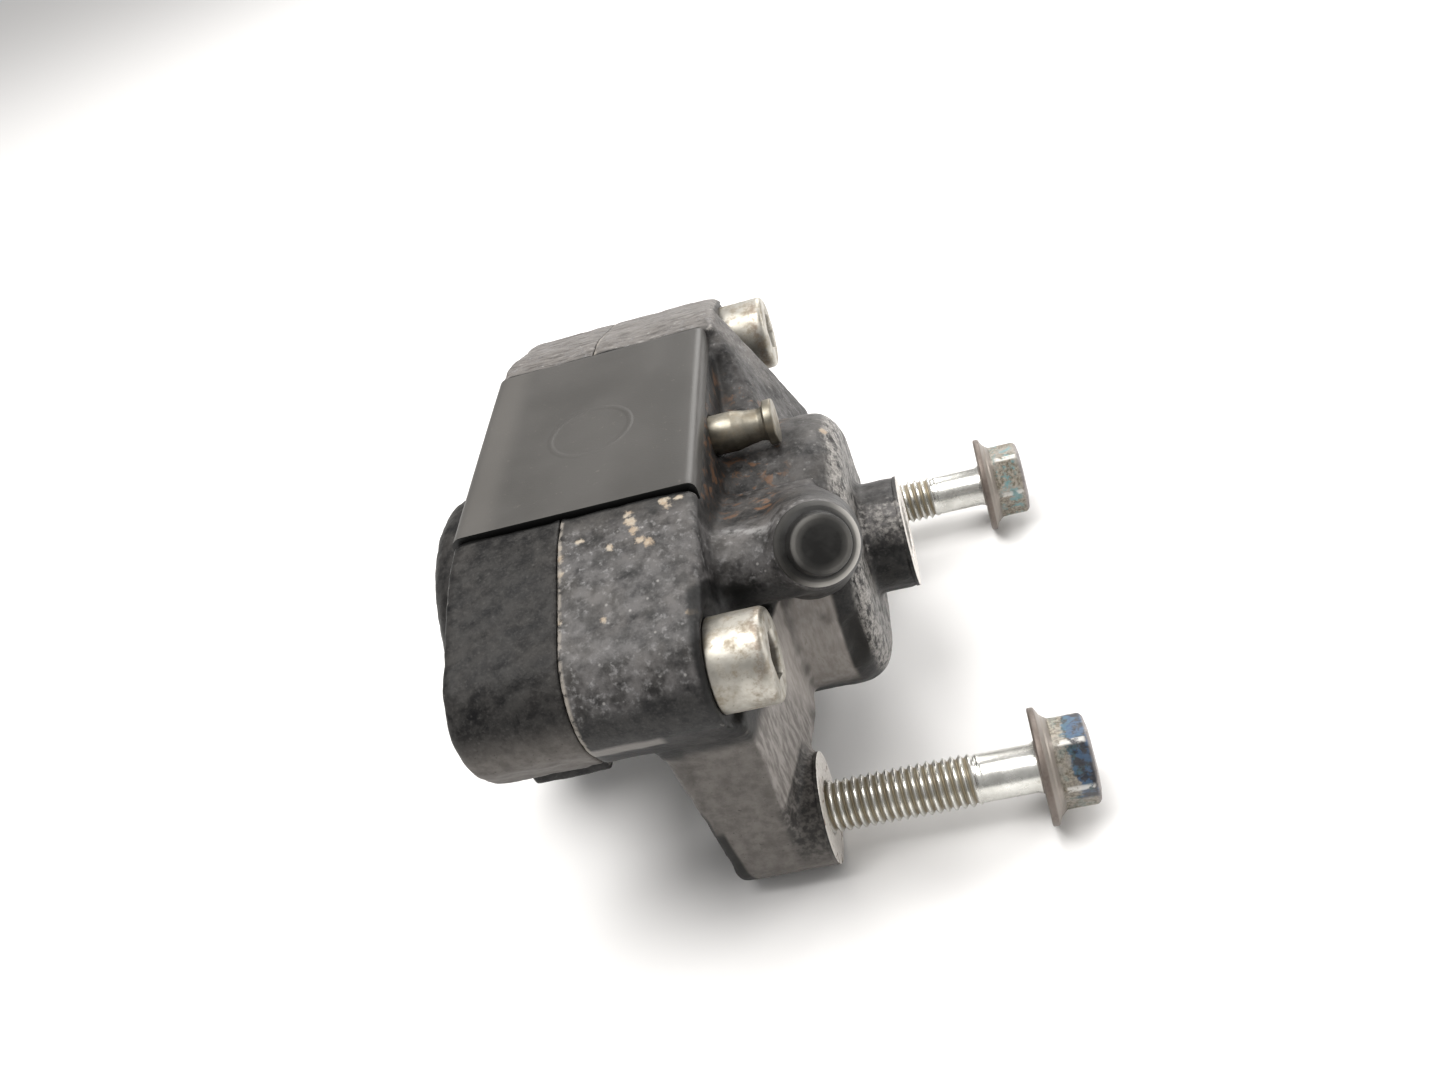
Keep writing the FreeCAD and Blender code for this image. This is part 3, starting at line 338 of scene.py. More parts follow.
def thread(start, end):
    """A right-handed M8 thread along X from start to end, which fades into the shank at its end."""
    crest, root, shank, runout, lead_in = 3.96, 3.36, 3.6, 2.2, 1.3
    segments, per_pitch = 60, 16
    rows = int(math.ceil((end - start) / PITCH * per_pitch)) + per_pitch
    points, faces = [], []
    for row in range(rows + 1):
        phase = (row % per_pitch) / per_pitch
        depth = np.clip((abs(2 * phase - 1) - 0.12) / 0.72, 0, 1)
        for k in range(segments):
            along = start - PITCH + row * PITCH / per_pitch + PITCH * k / segments
            x = min(max(along, start), end)
            r = root + (crest - root) * depth
            r = min(r, crest - 0.75 * (1 - min(1, (x - start) / lead_in)))
            r = shank + (r - shank) * np.clip((end - x) / runout, 0, 1)
            angle = 2 * math.pi * k / segments
            points.append((x, r * math.cos(angle), r * math.sin(angle)))
    for row in range(rows):
        for k in range(segments):
            n = (k + 1) % segments
            shift = per_pitch if n == 0 else 0
            if row + 1 + shift > rows:
                continue
            a, b = row * segments + k, (row + shift) * segments + n
            faces.append((a, b, b + segments, a + segments))
    return points, faces


# ---- materials

class Paint:
    """A material whose node tree is written in millimetres of the piece's own frame."""

    def __init__(self, name, roughness, metallic=0.0, specular=0.5):
        self.material = bpy.data.materials.new(name)
        self.material.use_nodes = True
        self.tree = self.material.node_tree
        self.shader = self.tree.nodes["Principled BSDF"]
        self.shader.inputs["Roughness"].default_value = roughness
        self.shader.inputs["Metallic"].default_value = metallic
        self.shader.inputs["Specular IOR Level"].default_value = specular
        coords = self.node("ShaderNodeTexCoord").outputs["Object"]
        scaled = self.node("ShaderNodeVectorMath", {0: coords}, operation="SCALE")
        scaled.inputs["Scale"].default_value = 1 / MM
        self.place = scaled.outputs[0]
        self.x, self.y, self.z = self.node("ShaderNodeSeparateXYZ", {0: self.place}).outputs

    def node(self, kind, inputs=None, **fields):
        node = set_fields(self.tree.nodes.new(kind), **fields)
        for key, source in (inputs or {}).items():
            self.feed(node.inputs[key], source)
        return node

    def feed(self, socket, source):
        if isinstance(source, bpy.types.NodeSocket):
            self.tree.links.new(source, socket)
        else:
            socket.default_value = source

    def math(self, operation, a, b=0.0):
        return self.node("ShaderNodeMath", {0: a, 1: b}, operation=operation).outputs[0]

    def add(self, a, b):
        return self.math("ADD", a, b)

    def sub(self, a, b):
        return self.math("SUBTRACT", a, b)

    def mul(self, first, *others):
        for other in others:
            first = self.math("MULTIPLY", first, other)
        return first

    def top(self, first, *others):
        for other in others:
            first = self.math("MAXIMUM", first, other)
        return first

    def hypot(self, a, b):
        return self.math("SQRT", self.add(self.mul(a, a), self.mul(b, b)))

    def noise(self, size, detail, rough, stretch=None, twist=0.0):
        """Fractal noise of about 0 to 1 whose features are about size millimetres."""
        vector = self.place
        if stretch:
            stretched = self.node("ShaderNodeVectorMath", {0: vector, 1: stretch}, operation="MULTIPLY")
            vector = stretched.outputs[0]
        made = self.node("ShaderNodeTexNoise", {"Vector": vector, "Scale": 1.0 / size, "Detail": detail,
                                                "Roughness": rough, "Distortion": twist})
        return made.outputs[0]

    def distance(self, point):
        """The distance from a point."""
        made = self.node("ShaderNodeVectorMath", {0: self.place, 1: point}, operation="DISTANCE")
        return made.outputs["Value"]

    def cells(self, size):
        """The distance from the nearest of many scattered points, in units of size."""
        return self.node("ShaderNodeTexVoronoi", {"Vector": self.place, "Scale": 1.0 / size}).outputs[0]

    def step(self, source, low, high):
        """0 below low and 1 above high, smooth in between; low may be above high."""
        made = self.node("ShaderNodeMapRange", {0: source, 1: low, 2: high, 3: 0.0, 4: 1.0},
                         interpolation_type="SMOOTHSTEP", clamp=True)
        return made.outputs[0]

    def span(self, source, low, high, soft):
        """1 between low and high, with soft ends."""
        rise = self.step(source, low - soft, low + soft)
        fall = self.step(source, high + soft, high - soft)
        return self.mul(rise, fall)

    def blend(self, factor, a, b):
        """A colour that goes from a to b as factor goes from 0 to 1."""
        made = self.node("ShaderNodeMix", data_type="RGBA", clamp_factor=True)
        for index, source in ((0, factor), (6, a), (7, b)):
            if isinstance(source, tuple):
                source = (*source, 1.0)
            self.feed(made.inputs[index], source)
        return made.outputs[2]

    def coat(self, under, over, mask, strength):
        """The colour under, with over laid on it at that strength where mask is 1."""
        return self.blend(self.mul(mask, strength), under, over)

    def value(self, factor, a, b):
        """A number that goes from a to b as factor goes from 0 to 1."""
        made = self.node("ShaderNodeMapRange", {0: factor, 1: 0.0, 2: 1.0, 3: a, 4: b}, clamp=True)
        return made.outputs[0]

    def relief(self):
        """The number that set_relief() stored, 0 if there is none."""
        return self.node("ShaderNodeAttribute", attribute_name="relief").outputs["Fac"]

    def facing(self):
        """The surface normal's x, y and z in the piece's own frame."""
        normal = self.node("ShaderNodeTexCoord").outputs["Normal"]
        return self.node("ShaderNodeSeparateXYZ", {0: normal}).outputs

    def finish(self, colour, rough=None, height=None, depth=0.05, metal=None):
        """height is a number of about 0 to 1; depth is what 1 stands for, in millimetres."""
        self.feed(self.shader.inputs["Base Color"], (*colour, 1.0) if isinstance(colour, tuple) else colour)
        for socket, source in (("Roughness", rough), ("Metallic", metal)):
            if source is not None:
                self.feed(self.shader.inputs[socket], source)
        if height is not None:
            bump = self.node("ShaderNodeBump", {"Height": height, "Distance": depth * MM, "Strength": 1.0})
            self.feed(self.shader.inputs["Normal"], bump.outputs[0])
        return self.material


def screw_distance(p, inward=0.0, upward=0.0):
    """The distance from the axis of the nearer bridge screw, or from a line moved off it."""
    return p.hypot(p.sub(p.math("ABSOLUTE", p.y), SCREW_Y - inward), p.sub(p.z, SCREW_Z + upward))


def inboard_wear(p, coarse, normal):
    """Where the inboard half's black coat has thinned, worn down to a grey skin, or been rubbed to metal, and the
    band of the port boss that takes a painted highlight.
    """
    nx, ny, nz = normal
    wave = p.mul(p.sub(coarse, 0.5), 9.0)
    ear = p.mul(p.step(p.y, -25.0, -28.0), p.step(p.add(p.z, wave), 40.5, 43.5))
    far = p.mul(p.step(p.y, 20.0, 25.0), p.step(p.z, 34.0, 44.0), p.step(nz, 0.05, 0.5))
    slope = p.mul(p.step(p.y, 6.0, 16.0), p.step(p.x, -4.0, -2.0))
    pocket = p.mul(p.step(p.y, -20.0, -16.0), p.step(p.x, -6.0, -4.5), p.step(nz, 0.25, 0.95))
    # painted highlight: the upper front band of the port boss, drawn as grey haze and metal speckle
    port = p.mul(p.step(p.x, 12.4, 13.4), p.span(ny, -0.80, -0.25, 0.15), p.step(nz, 0.2, 0.4))
    passage = p.mul(p.span(p.y, -33.5, -24.0, 1.5), p.span(p.x, -4.0, 6.0, 1.5), p.step(nz, 0.5, 0.85))
    low = p.mul(p.step(p.z, 27.5, 24.0), p.step(p.x, 0.5, -0.5))
    beside = p.mul(p.span(p.x, -4.5, 8.0, 0.5), p.step(p.z, 31.0, 29.8), p.step(p.y, -17.0, -20.5),
                   p.step(p.add(p.y, p.mul(p.z, 0.6)), -21.0, -17.0))
    from_axis = p.hypot(p.y, p.sub(p.z, BORE_Z))
    rim = p.mul(p.span(p.x, 10.7, 13.4, 0.6), p.step(from_axis, 21.8, 20.4),
                p.step(p.noise(1.3, 5, 0.68, stretch=(2.2, 0.7, 0.7)), 0.40, 0.56))
    return {
        "thin": p.top(p.mul(ear, 0.85), far, p.mul(slope, 0.6), p.mul(pocket, 0.4), port,
                      p.mul(passage, 0.9)),
        "worn": p.top(p.mul(low, 0.85), p.mul(beside, 0.95)),
        "light": p.top(p.mul(low, p.step(nx, 0.3, 0.8)), beside),
        "far": far, "beside": beside, "rim": rim, "port": port,
    }


def outboard_wear(p, mottle, normal):
    """Where the outboard half's black coat has thinned or worn down to a grey skin."""
    far = p.mul(p.step(p.y, 20.0, 25.0), p.step(normal[2], 0.05, 0.5))
    return {
        "far": far, "thin": p.add(0.02, far),
        "worn": p.mul(p.step(p.z, 43.0, 36.5), p.step(p.y, -44.0, -49.0), p.value(mottle, 0.60, 0.85)),
    }


def grey_skin(p, wear):
    """The stained skin where the coat has gone; the inboard half also has lighter, streaked patches."""
    skin = p.blend(p.step(p.noise(1.8, 5, 0.65), 0.30, 0.70), (0.105, 0.095, 0.086), (0.17, 0.156, 0.143))
    skin = p.coat(skin, (0.035, 0.031, 0.028), p.step(p.noise(0.6, 3, 0.6), 0.64, 0.74), 0.75)
    if "light" in wear:
        streaks = p.noise(0.9, 4, 0.6, stretch=(1.0, 1.0, 0.25))
        streaked = p.blend(p.step(streaks, 0.34, 0.66), (0.14, 0.127, 0.118), (0.35, 0.327, 0.307))
        streaked = p.coat(streaked, (0.05, 0.045, 0.04), p.step(streaks, 0.66, 0.74), 0.7)
        skin = p.coat(skin, streaked, wear["light"], 0.8)
        skin = p.coat(skin, (0.40, 0.37, 0.345), wear["beside"], 0.45)
    return skin


def inboard_stains_and_shade(p, colour, mottle):
    """Pale oxide, rust under the pad pin, the seam's rubbed edge, and black paint with painted shade in the
    flank's hollows.
    """
    ragged = p.mul(p.sub(p.noise(1.0, 5, 0.7), 0.5), 2.4)
    oxide = p.top(*(p.step(p.add(p.distance((x, y, z)), ragged), radius + 0.35, radius - 0.25)
                    for x, y, z, radius in OXIDE_SPOTS))
    pale = p.blend(p.step(mottle, 0.4, 0.6), (0.36, 0.275, 0.19), (0.44, 0.38, 0.30))
    colour = p.coat(colour, pale, oxide, 0.8)
    rust = p.mul(p.step(p.noise(2.2, 4, 0.65, twist=0.4), 0.52, 0.64), p.span(p.y, -22.0, 17.0, 2.0),
                 p.span(p.x, -6.0, 5.0, 2.0), p.step(p.z, 37.0, 40.0))
    colour = p.coat(colour, (0.15, 0.070, 0.030), rust, 0.6)
    seam = p.mul(p.step(p.x, SEAM + 0.95, SEAM + 0.45), p.step(p.noise(1.3, 4, 0.62), 0.40, 0.54))
    colour = p.coat(colour, (0.34, 0.31, 0.27), seam, 0.65)
    # black paint and painted shade in the hollows of the near flank
    hollows = p.mul(p.span(p.x, 7.9, 10.9, 0.35), p.span(p.z, 12.6, 24.4, 0.7), p.step(p.y, -19.0, -20.2))
    return p.coat(colour, (0.016, 0.015, 0.014), hollows, 0.85)


def inboard_marks(p, colour, fine, normal, port, metal):
    """Painted shade round the near screw's head and on the backs and tips of the lugs, a darkened collar on the
    near lug, a painted highlight on a ledge under the near ear above painted shadow, a painted highlight streak on
    the crest between the bleed boss and the ear, and metal speckle as a painted highlight on the port boss."""
    # painted shade round the near screw's head in its pocket, and painted shadow in spots above and below the head
    screw_head_shade = p.mul(p.step(screw_distance(p, 1.7, 1.0), 10.0, 9.2), p.span(p.x, -6.9, -0.8, 0.5),
                   p.step(p.y, 0.0, -1.0))
    spots = p.top(p.step(p.distance((-5.0, -47.6, 32.0)), 3.2, 2.5),
                  *(p.step(p.distance(spot), 3.0, 1.9) for spot in SCREW_SHADOW_SPOTS))
    # darkening on the collar of the near lug; painted shade on the backs of both lugs and on their tips
    collar = p.mul(p.step(p.x, -6.2, -4.4), p.step(p.z, 11.2, 10.0), p.step(p.y, -30.0, -33.0),
                   p.step(p.z, -4.0, 3.0), p.value(p.step(fine, 0.40, 0.62), 1.0, 0.55))
    back = p.mul(p.step(normal[0], -0.15, -0.5), p.step(p.z, 14.0, 11.0))
    tip = p.mul(p.step(p.add(p.x, p.mul(p.z, 0.106)), -13.2, -13.8), p.step(p.z, 9.0, 7.0))
    # the underside of the near ear: a painted highlight on a ledge, above painted shadow
    under = p.mul(p.step(p.y, -44.0, -46.0), p.step(p.x, -13.8, -15.0))
    colour = p.coat(colour, (0.20, 0.188, 0.176), p.mul(under, p.span(p.z, 33.2, 35.4, 0.5)), 0.8)
    hollow = p.mul(under, p.step(p.z, 33.4, 32.8))
    dark = p.top(screw_head_shade, spots, p.mul(collar, 0.9), p.mul(back, 0.85), tip, hollow)
    colour = p.coat(colour, (0.006, 0.006, 0.006), dark, 0.92)
    # painted highlight: a pale streak on the crest between the bleed boss and the ear
    crest = p.mul(p.span(p.add(p.y, p.mul(p.x, 0.32)), -27.9, -26.2, 0.5), p.span(p.x, -2.8, 5.2, 0.8),
                  p.step(normal[2], 0.3, 0.6), p.step(p.noise(1.2, 5, 0.65), 0.38, 0.58))
    colour = p.coat(colour, (0.30, 0.295, 0.29), crest, 0.5)
    # painted highlight: metal speckle on the port boss
    return p.coat(colour, metal, p.mul(port, p.step(p.noise(0.9, 4, 0.65), 0.42, 0.62)), 0.7)


def cast_paint(name, inboard):
    """Black paint on a casting: mottled, speckled with bare metal, chipped at edges, stained in hollows; painted
    shadow under the pad cover, and painted light and shade on the inboard half.
    """
    p = Paint(name, 0.5, specular=0.22 if inboard else 0.12)
    relief = p.relief()
    coarse = p.noise(9.0, 4, 0.6)
    mottle = p.noise(2.2, 6, 0.68)
    fine = p.noise(0.9, 4, 0.6)
    grit = p.noise(0.42, 2, 0.5)
    normal = p.facing()
    wear = inboard_wear(p, coarse, normal) if inboard else outboard_wear(p, mottle, normal)
    thin, far, worn = wear["thin"], wear["far"], wear["worn"]
    # the black coat
    colour = p.blend(p.step(mottle, 0.34, 0.64), (0.004, 0.004, 0.0045), (0.028, 0.027, 0.026))
    colour = p.coat(colour, (0.034, 0.032, 0.030), p.step(coarse, 0.45, 0.7), 0.25)
    colour = p.coat(colour, (0.052, 0.050, 0.048), p.step(grit, 0.50, 0.78), 0.5)
    # grey haze, scratches and flecks where it has thinned, and as a painted highlight on the port boss
    haze = p.mul(thin, p.top(p.step(p.noise(2.6, 5, 0.6), 0.34, 0.66), far))
    colour = p.coat(colour, p.blend(far, (0.125, 0.119, 0.118), (0.18, 0.168, 0.158)), haze, 0.8)
    scratches = p.noise(0.9, 5, 0.7, stretch=(0.3, 1.2, 1.2))
    colour = p.coat(colour, (0.035, 0.031, 0.028), p.mul(far, p.step(scratches, 0.50, 0.60)), 0.65)
    colour = p.coat(colour, (0.34, 0.325, 0.31), p.mul(far, p.step(scratches, 0.42, 0.34)), 0.55)
    flecks = p.mul(p.step(p.noise(1.1, 5, 0.62), 0.50, 0.68), p.step(coarse, 0.26, 0.56))
    grey = p.blend(p.step(grit, 0.35, 0.7), (0.10, 0.098, 0.10), (0.24, 0.235, 0.235))
    colour = p.coat(colour, grey, p.mul(flecks, thin), 0.8)
    colour = p.blend(worn, colour, grey_skin(p, wear))
    # edges rubbed through to metal
    edges = p.step(p.add(relief, p.mul(p.sub(fine, 0.5), 0.30)), 0.15, 0.25)
    rubbed = p.mul(edges, p.step(p.noise(1.7, 5, 0.66), 0.50, 0.62), 0.75)
    if inboard:
        rubbed = p.top(rubbed, p.mul(wear["rim"], 0.8))
    metal = p.blend(p.step(grit, 0.3, 0.7), (0.20, 0.19, 0.18), (0.40, 0.38, 0.355))
    colour = p.blend(rubbed, colour, metal)
    # bright specks
    specks = p.mul(p.step(p.cells(1.7), 0.17, 0.06), p.step(p.noise(4.0, 3, 0.6), 0.46, 0.58))
    colour = p.coat(colour, (0.36, 0.35, 0.335), specks, p.add(p.mul(thin, 0.55), 0.05))
    if inboard:
        colour = inboard_stains_and_shade(p, colour, mottle)
    # dirt settles in hollows, dust on what faces up
    colour = p.coat(colour, (0.012, 0.011, 0.010), p.step(relief, -0.04, -0.16), 0.7)
    dusty = p.mul(p.step(normal[2], 0.25, 0.95), p.step(p.noise(5.0, 3, 0.6), 0.35, 0.7))
    colour = p.coat(colour, (0.16, 0.145, 0.13), dusty, 0.18 if inboard else 0.07)
    # painted shadow under the pad cover and along its edges
    cover_shadow = p.mul(p.step(p.math("ABSOLUTE", p.y), 24.0, 23.4), p.step(p.z, 49.5, 50.5),
                    p.step(p.x, -5.4, -6.4))
    colour = p.blend(cover_shadow, colour, (0.003, 0.003, 0.003))
    if inboard:
        colour = inboard_marks(p, colour, fine, normal, wear["port"], metal)
    rough = p.add(p.value(mottle, 0.36, 0.60), p.mul(p.top(p.mul(dusty, 0.5), worn), 0.08))
    height = p.add(p.mul(fine, 0.45), p.add(p.mul(mottle, 0.8), p.mul(grit, 0.18)))
    height = p.mul(height, p.value(worn, 1.0, 0.35))
    return p.finish(colour, rough, height, 0.12)


def bare_casting():
    """The machined walls of the bores, with turning lines and brown stains."""
    p = Paint("bare_machined_aluminium", 0.35, 0.9)
    lines = p.noise(0.25, 2, 0.5, stretch=(6.0, 0.35, 0.35))
    stain = p.noise(2.5, 4, 0.6)
    colour = p.blend(p.step(stain, 0.4, 0.66), (0.56, 0.55, 0.53), (0.33, 0.30, 0.26))
    return p.finish(colour, p.value(stain, 0.28, 0.5), lines, 0.02)


def lug_metal():
    """Machined lug and port faces: dull grey with brown rust spots."""
    p = Paint("machined_face", 0.5, 0.55)
    rust = p.step(p.noise(1.9, 4, 0.65, twist=0.7), 0.57, 0.66)
    fine = p.noise(0.5, 3, 0.6)
    colour = p.blend(p.step(fine, 0.3, 0.7), (0.60, 0.57, 0.53), (0.80, 0.77, 0.73))
    colour = p.coat(colour, (0.12, 0.055, 0.028), rust, 0.8)
    metal = p.value(rust, 0.6, 0.1)
    return p.finish(colour, p.value(rust, 0.42, 0.75), p.add(fine, rust), 0.03, metal)


def cover_plastic():
    """Black plastic with a slight haze, a painted highlight along its left bend, painted shade on its side edges,
    and a faint plain ring.
    """
    p = Paint("cover_plastic", 0.42, specular=0.4)
    haze = p.noise(14.0, 3, 0.5)
    fine = p.noise(0.35, 2, 0.5)
    brush = p.noise(2.0, 3, 0.5, stretch=(1.0, 0.12, 1.0))
    colour = p.blend(p.step(haze, 0.3, 0.7), (0.046, 0.0435, 0.040), (0.060, 0.057, 0.053))
    # painted highlight along the left bend of the sheet
    colour = p.coat(colour, (0.100, 0.094, 0.086), p.span(p.x, -40.6, -35.5, 2.0), 0.5)
    colour = p.coat(colour, (0.040, 0.038, 0.035), p.span(p.x, -11.5, -6.5, 2.0), 0.5)
    colour = p.coat(colour, (0.17, 0.155, 0.135), p.step(p.noise(1.1, 4, 0.7), 0.63, 0.72), 0.25)
    # painted shade on the sheet's side edges, which face along Y
    side = p.step(p.math("ABSOLUTE", p.facing()[1]), 0.35, 0.75)
    colour = p.blend(side, colour, (0.004, 0.004, 0.004))
    rough = p.value(p.add(p.mul(haze, 0.6), p.mul(brush, 0.4)), 0.36, 0.52)
    x, y, radius = COVER_RING
    ring = p.span(p.hypot(p.sub(p.x, x), p.sub(p.y, y)), radius - 0.35, radius + 0.35, 0.3)
    height = p.add(p.mul(p.add(fine, p.mul(brush, 0.6)), 0.15), ring)
    return p.finish(colour, rough, height, 0.07)


def plated(name, low, high, brownness):
    """Worn plated steel with brown mottling; low and high are the metal's dull and bright tones."""
    p = Paint(name, 0.4, 1.0)
    stain = p.noise(2.2, 6, 0.7)
    fine = p.noise(0.5, 3, 0.6)
    colour = p.blend(p.step(p.noise(3.4, 4, 0.55), 0.35, 0.65), low, high)
    brown = p.mul(p.step(stain, 0.44, 0.68), brownness)
    colour = p.blend(brown, colour, (0.21, 0.175, 0.125))
    colour = p.coat(colour, (0.10, 0.085, 0.065), p.step(p.noise(0.7, 4, 0.65), 0.60, 0.76), 0.5)
    # dirt round the rim of the bridge screws and in their hexagon sockets
    across = screw_distance(p)
    rim = p.mul(p.span(p.x, 0.5, 1.5, 0.6), p.step(stain, 0.40, 0.58), p.step(across, 5.2, 5.9),
                p.step(across, 9.0, 7.0))
    colour = p.coat(colour, (0.20, 0.155, 0.12), rim, 0.65)
    socket = p.mul(p.step(across, 3.7, 3.3), p.step(p.x, 1.9, 1.5))
    colour = p.coat(colour, (0.055, 0.045, 0.035), socket, 0.75)
    rough = p.add(p.value(stain, 0.36, 0.54), p.mul(brown, 0.12))
    metal = p.value(p.top(brown, socket), 1.0, 0.7)
    return p.finish(colour, rough, p.add(fine, p.mul(stain, 0.4)), 0.006, metal)


def head_grime_and_highlight(p, near, relief, cloud):
    """The dirt on the flange bolts' heads, with blue on the near one, teal on both, and bare corners that also
    carry a painted highlight.
    """
    along = p.sub(p.x, p.value(p.step(p.y, -0.5, 0.5), NEAR_SEAT, FAR_SEAT))
    grime = p.blend(p.step(p.noise(0.5, 5, 0.7), 0.36, 0.64), (0.10, 0.086, 0.062), (0.30, 0.27, 0.225))
    grime = p.coat(grime, (0.30, 0.285, 0.26), p.step(cloud, 0.45, 0.62), 0.6)
    # the flange, its cone and the end of the hexagon
    flange = p.step(along, 2.6, 2.2)
    grime = p.coat(grime, (0.13, 0.104, 0.09), flange, 0.85)
    grime = p.coat(grime, (0.30, 0.27, 0.24), p.mul(flange, p.step(along, 0.9, 1.2)), 0.7)
    grime = p.coat(grime, (0.22, 0.205, 0.21), p.step(along, 6.9, 7.5), 0.7)
    patches = p.noise(1.6, 5, 0.65)
    blue = p.mul(near, p.step(p.add(along, p.mul(patches, 4.5)), 6.4, 7.2), p.step(p.z, -2.4, -1.2),
                 p.step(along, 7.6, 7.1))
    deep = p.blend(p.step(p.noise(1.3, 4, 0.6), 0.46, 0.60), (0.012, 0.016, 0.028), (0.028, 0.075, 0.15))
    grime = p.coat(grime, deep, blue, 0.85)
    teal = p.mul(p.step(patches, 0.50, 0.60), p.span(along, 2.9, 6.6, 0.5), p.sub(1.0, p.mul(near, 0.75)))
    grime = p.coat(grime, (0.10, 0.25, 0.27), teal, 0.7)
    # bare worn corners of the hexagon, pale also as a painted highlight
    corners = p.mul(p.step(relief, 0.25, 0.9), p.step(p.noise(1.1, 4, 0.6), 0.36, 0.54))
    return p.coat(grime, (0.62, 0.61, 0.58), corners, 0.8)


def bolt_zinc():
    """Zinc-plated flange bolts: bright shank, brown thread roots and a grimy head with painted highlights on its
    corners.
    """
    p = Paint("zinc_plated_steel", 0.3, 1.0)
    stain = p.noise(1.8, 5, 0.65, twist=0.5)
    fine = p.noise(0.35, 3, 0.6)
    cloud = p.noise(3.0, 3, 0.5)
    relief = p.relief()
    near = p.step(p.y, 0.5, -0.5)
    head = p.top(p.mul(p.step(p.x, NEAR_SEAT - 0.3, NEAR_SEAT - 0.1), near),
                 p.step(p.x, FAR_SEAT - 0.3, FAR_SEAT - 0.1))
    colour = p.blend(p.step(cloud, 0.3, 0.7), (0.58, 0.575, 0.54), (0.74, 0.735, 0.70))
    dirt = p.top(p.mul(relief, p.value(stain, 0.70, 1.0)), p.mul(p.step(stain, 0.60, 0.72), 0.30))
    colour = p.blend(dirt, colour, p.blend(cloud, (0.16, 0.112, 0.050), (0.27, 0.22, 0.125)))
    colour = p.blend(head, colour, head_grime_and_highlight(p, near, relief, cloud))
    rough = p.top(p.add(p.value(stain, 0.16, 0.36), p.mul(dirt, 0.25)), p.mul(head, 0.46))
    metal = p.value(p.top(p.mul(dirt, 0.8), p.mul(head, 0.75)), 1.0, 0.3)
    return p.finish(colour, rough, fine, 0.004, metal)


def rubber(name, shade):
    """Black rubber, pale where the relief number is above 0: on the dust cap that is a painted highlight."""
    p = Paint(name, 0.55, specular=0.15)
    cloud = p.noise(3.0, 4, 0.6)
    fine = p.noise(0.4, 3, 0.6)
    dark = tuple(shade * k for k in (1.0, 0.98, 0.94))
    colour = p.blend(p.step(cloud, 0.35, 0.65), dark, tuple(1.9 * k for k in dark))
    # pale painted highlights where the relief number is above 0
    colour = p.coat(colour, (0.54, 0.52, 0.485), p.relief(), p.value(cloud, 0.5, 0.9))
    return p.finish(colour, p.value(cloud, 0.42, 0.62), fine, 0.01)


def friction_lining():
    """Grey-brown pad lining with brass chips and dark pores."""
    p = Paint("friction_lining", 0.85)
    fine = p.noise(0.35, 3, 0.7)
    cloud = p.noise(2.0, 4, 0.6)
    colour = p.blend(p.step(cloud, 0.35, 0.65), (0.070, 0.062, 0.055), (0.125, 0.112, 0.098))
    colour = p.blend(p.step(p.cells(0.9), 0.14, 0.06), colour, (0.42, 0.30, 0.15))
    colour = p.blend(p.step(fine, 0.62, 0.72), colour, (0.03, 0.028, 0.026))
    return p.finish(colour, 0.85, p.add(fine, p.mul(cloud, 0.6)), 0.08)


def backing_steel():
    """Dark steel with rust patches."""
    p = Paint("pad_backing_steel", 0.5, 0.3)
    cloud = p.noise(3.0, 5, 0.65)
    fine = p.noise(0.5, 3, 0.6)
    rust = p.step(p.noise(1.7, 5, 0.7, twist=0.5), 0.58, 0.68)
    colour = p.blend(p.step(cloud, 0.4, 0.6), (0.035, 0.033, 0.031), (0.085, 0.078, 0.070))
    colour = p.coat(colour, (0.17, 0.075, 0.030), rust, 0.8)
    return p.finish(colour, p.value(rust, 0.45, 0.8), p.add(fine, rust), 0.05)


def plain_steel(name, colour, rough, streak):
    """Ground or rolled steel with streaks; streak stretches them along one axis."""
    p = Paint(name, rough, 1.0)
    lines = p.noise(0.4, 3, 0.6, stretch=streak)
    cloud = p.noise(4.0, 4, 0.6)
    dull = tuple(0.62 * k for k in colour)
    shade = p.blend(p.step(cloud, 0.42, 0.72), colour, dull)
    uneven = p.add(p.mul(lines, 0.5), p.mul(cloud, 0.5))
    return p.finish(shade, p.value(uneven, rough - 0.08, rough + 0.16), lines, 0.012)


# ---- castings

def away_from_bore(points, past_end):
    """0 on the walls of the bores, 1 away from them and past their closed ends."""
    wall = falloff(np.abs(radial(points, 0, BORE_Z) - BORE_RADIUS), 0.5, 1.2)
    return wall + past_end + (points[:, 2] > ABOVE_BORE)


def inboard_skin(points):
    """1 where the inboard half is cast skin, 0 where it is machined."""
    x = points[:, 0]
    parts = [falloff(x - SEAM, 0.25, 1.6), away_from_bore(points, x > BORE_RIGHT + 0.7)]
    for _, sign in SIDES:
        lug = radial(points, sign * LUG_Y, 0)
        parts += [falloff(lug, 4.6, 5.4), falloff(np.abs(x), 0.3, 1.4) + falloff(lug, 8.9, 9.6),
                  falloff(radial(points, sign * SCREW_Y, SCREW_Z), 7.4, 8.2) + 0.35]
    parts += [falloff(PORT_FACE - x, 0.3, 1.4), falloff(radial(points, 0, PIN_Z), 3.4, 4.2) + (x > 4.0)]
    return np.clip(np.minimum.reduce(parts), 0, 1)


def outboard_skin(points):
    """1 where the outboard half is cast skin, 0 where it is machined."""
    x = points[:, 0]
    return np.clip(np.minimum(falloff(SEAM - x, 0.25, 1.6), away_from_bore(points, x < BORE_LEFT)), 0, 1)


def filled(points):
    """How far corners are filled: hardly at all at the foot of the port boss."""
    return 1 - 0.95 * falloff(points[:, 0], 10.8, 12.3)


def cutter(shape, matrix):
    """A solid that is taken away from a casting."""
    mesh = mesh_from("cutter", *shape)
    outward(mesh)
    mesh.transform(matrix)
    return new_piece("cutter", mesh)


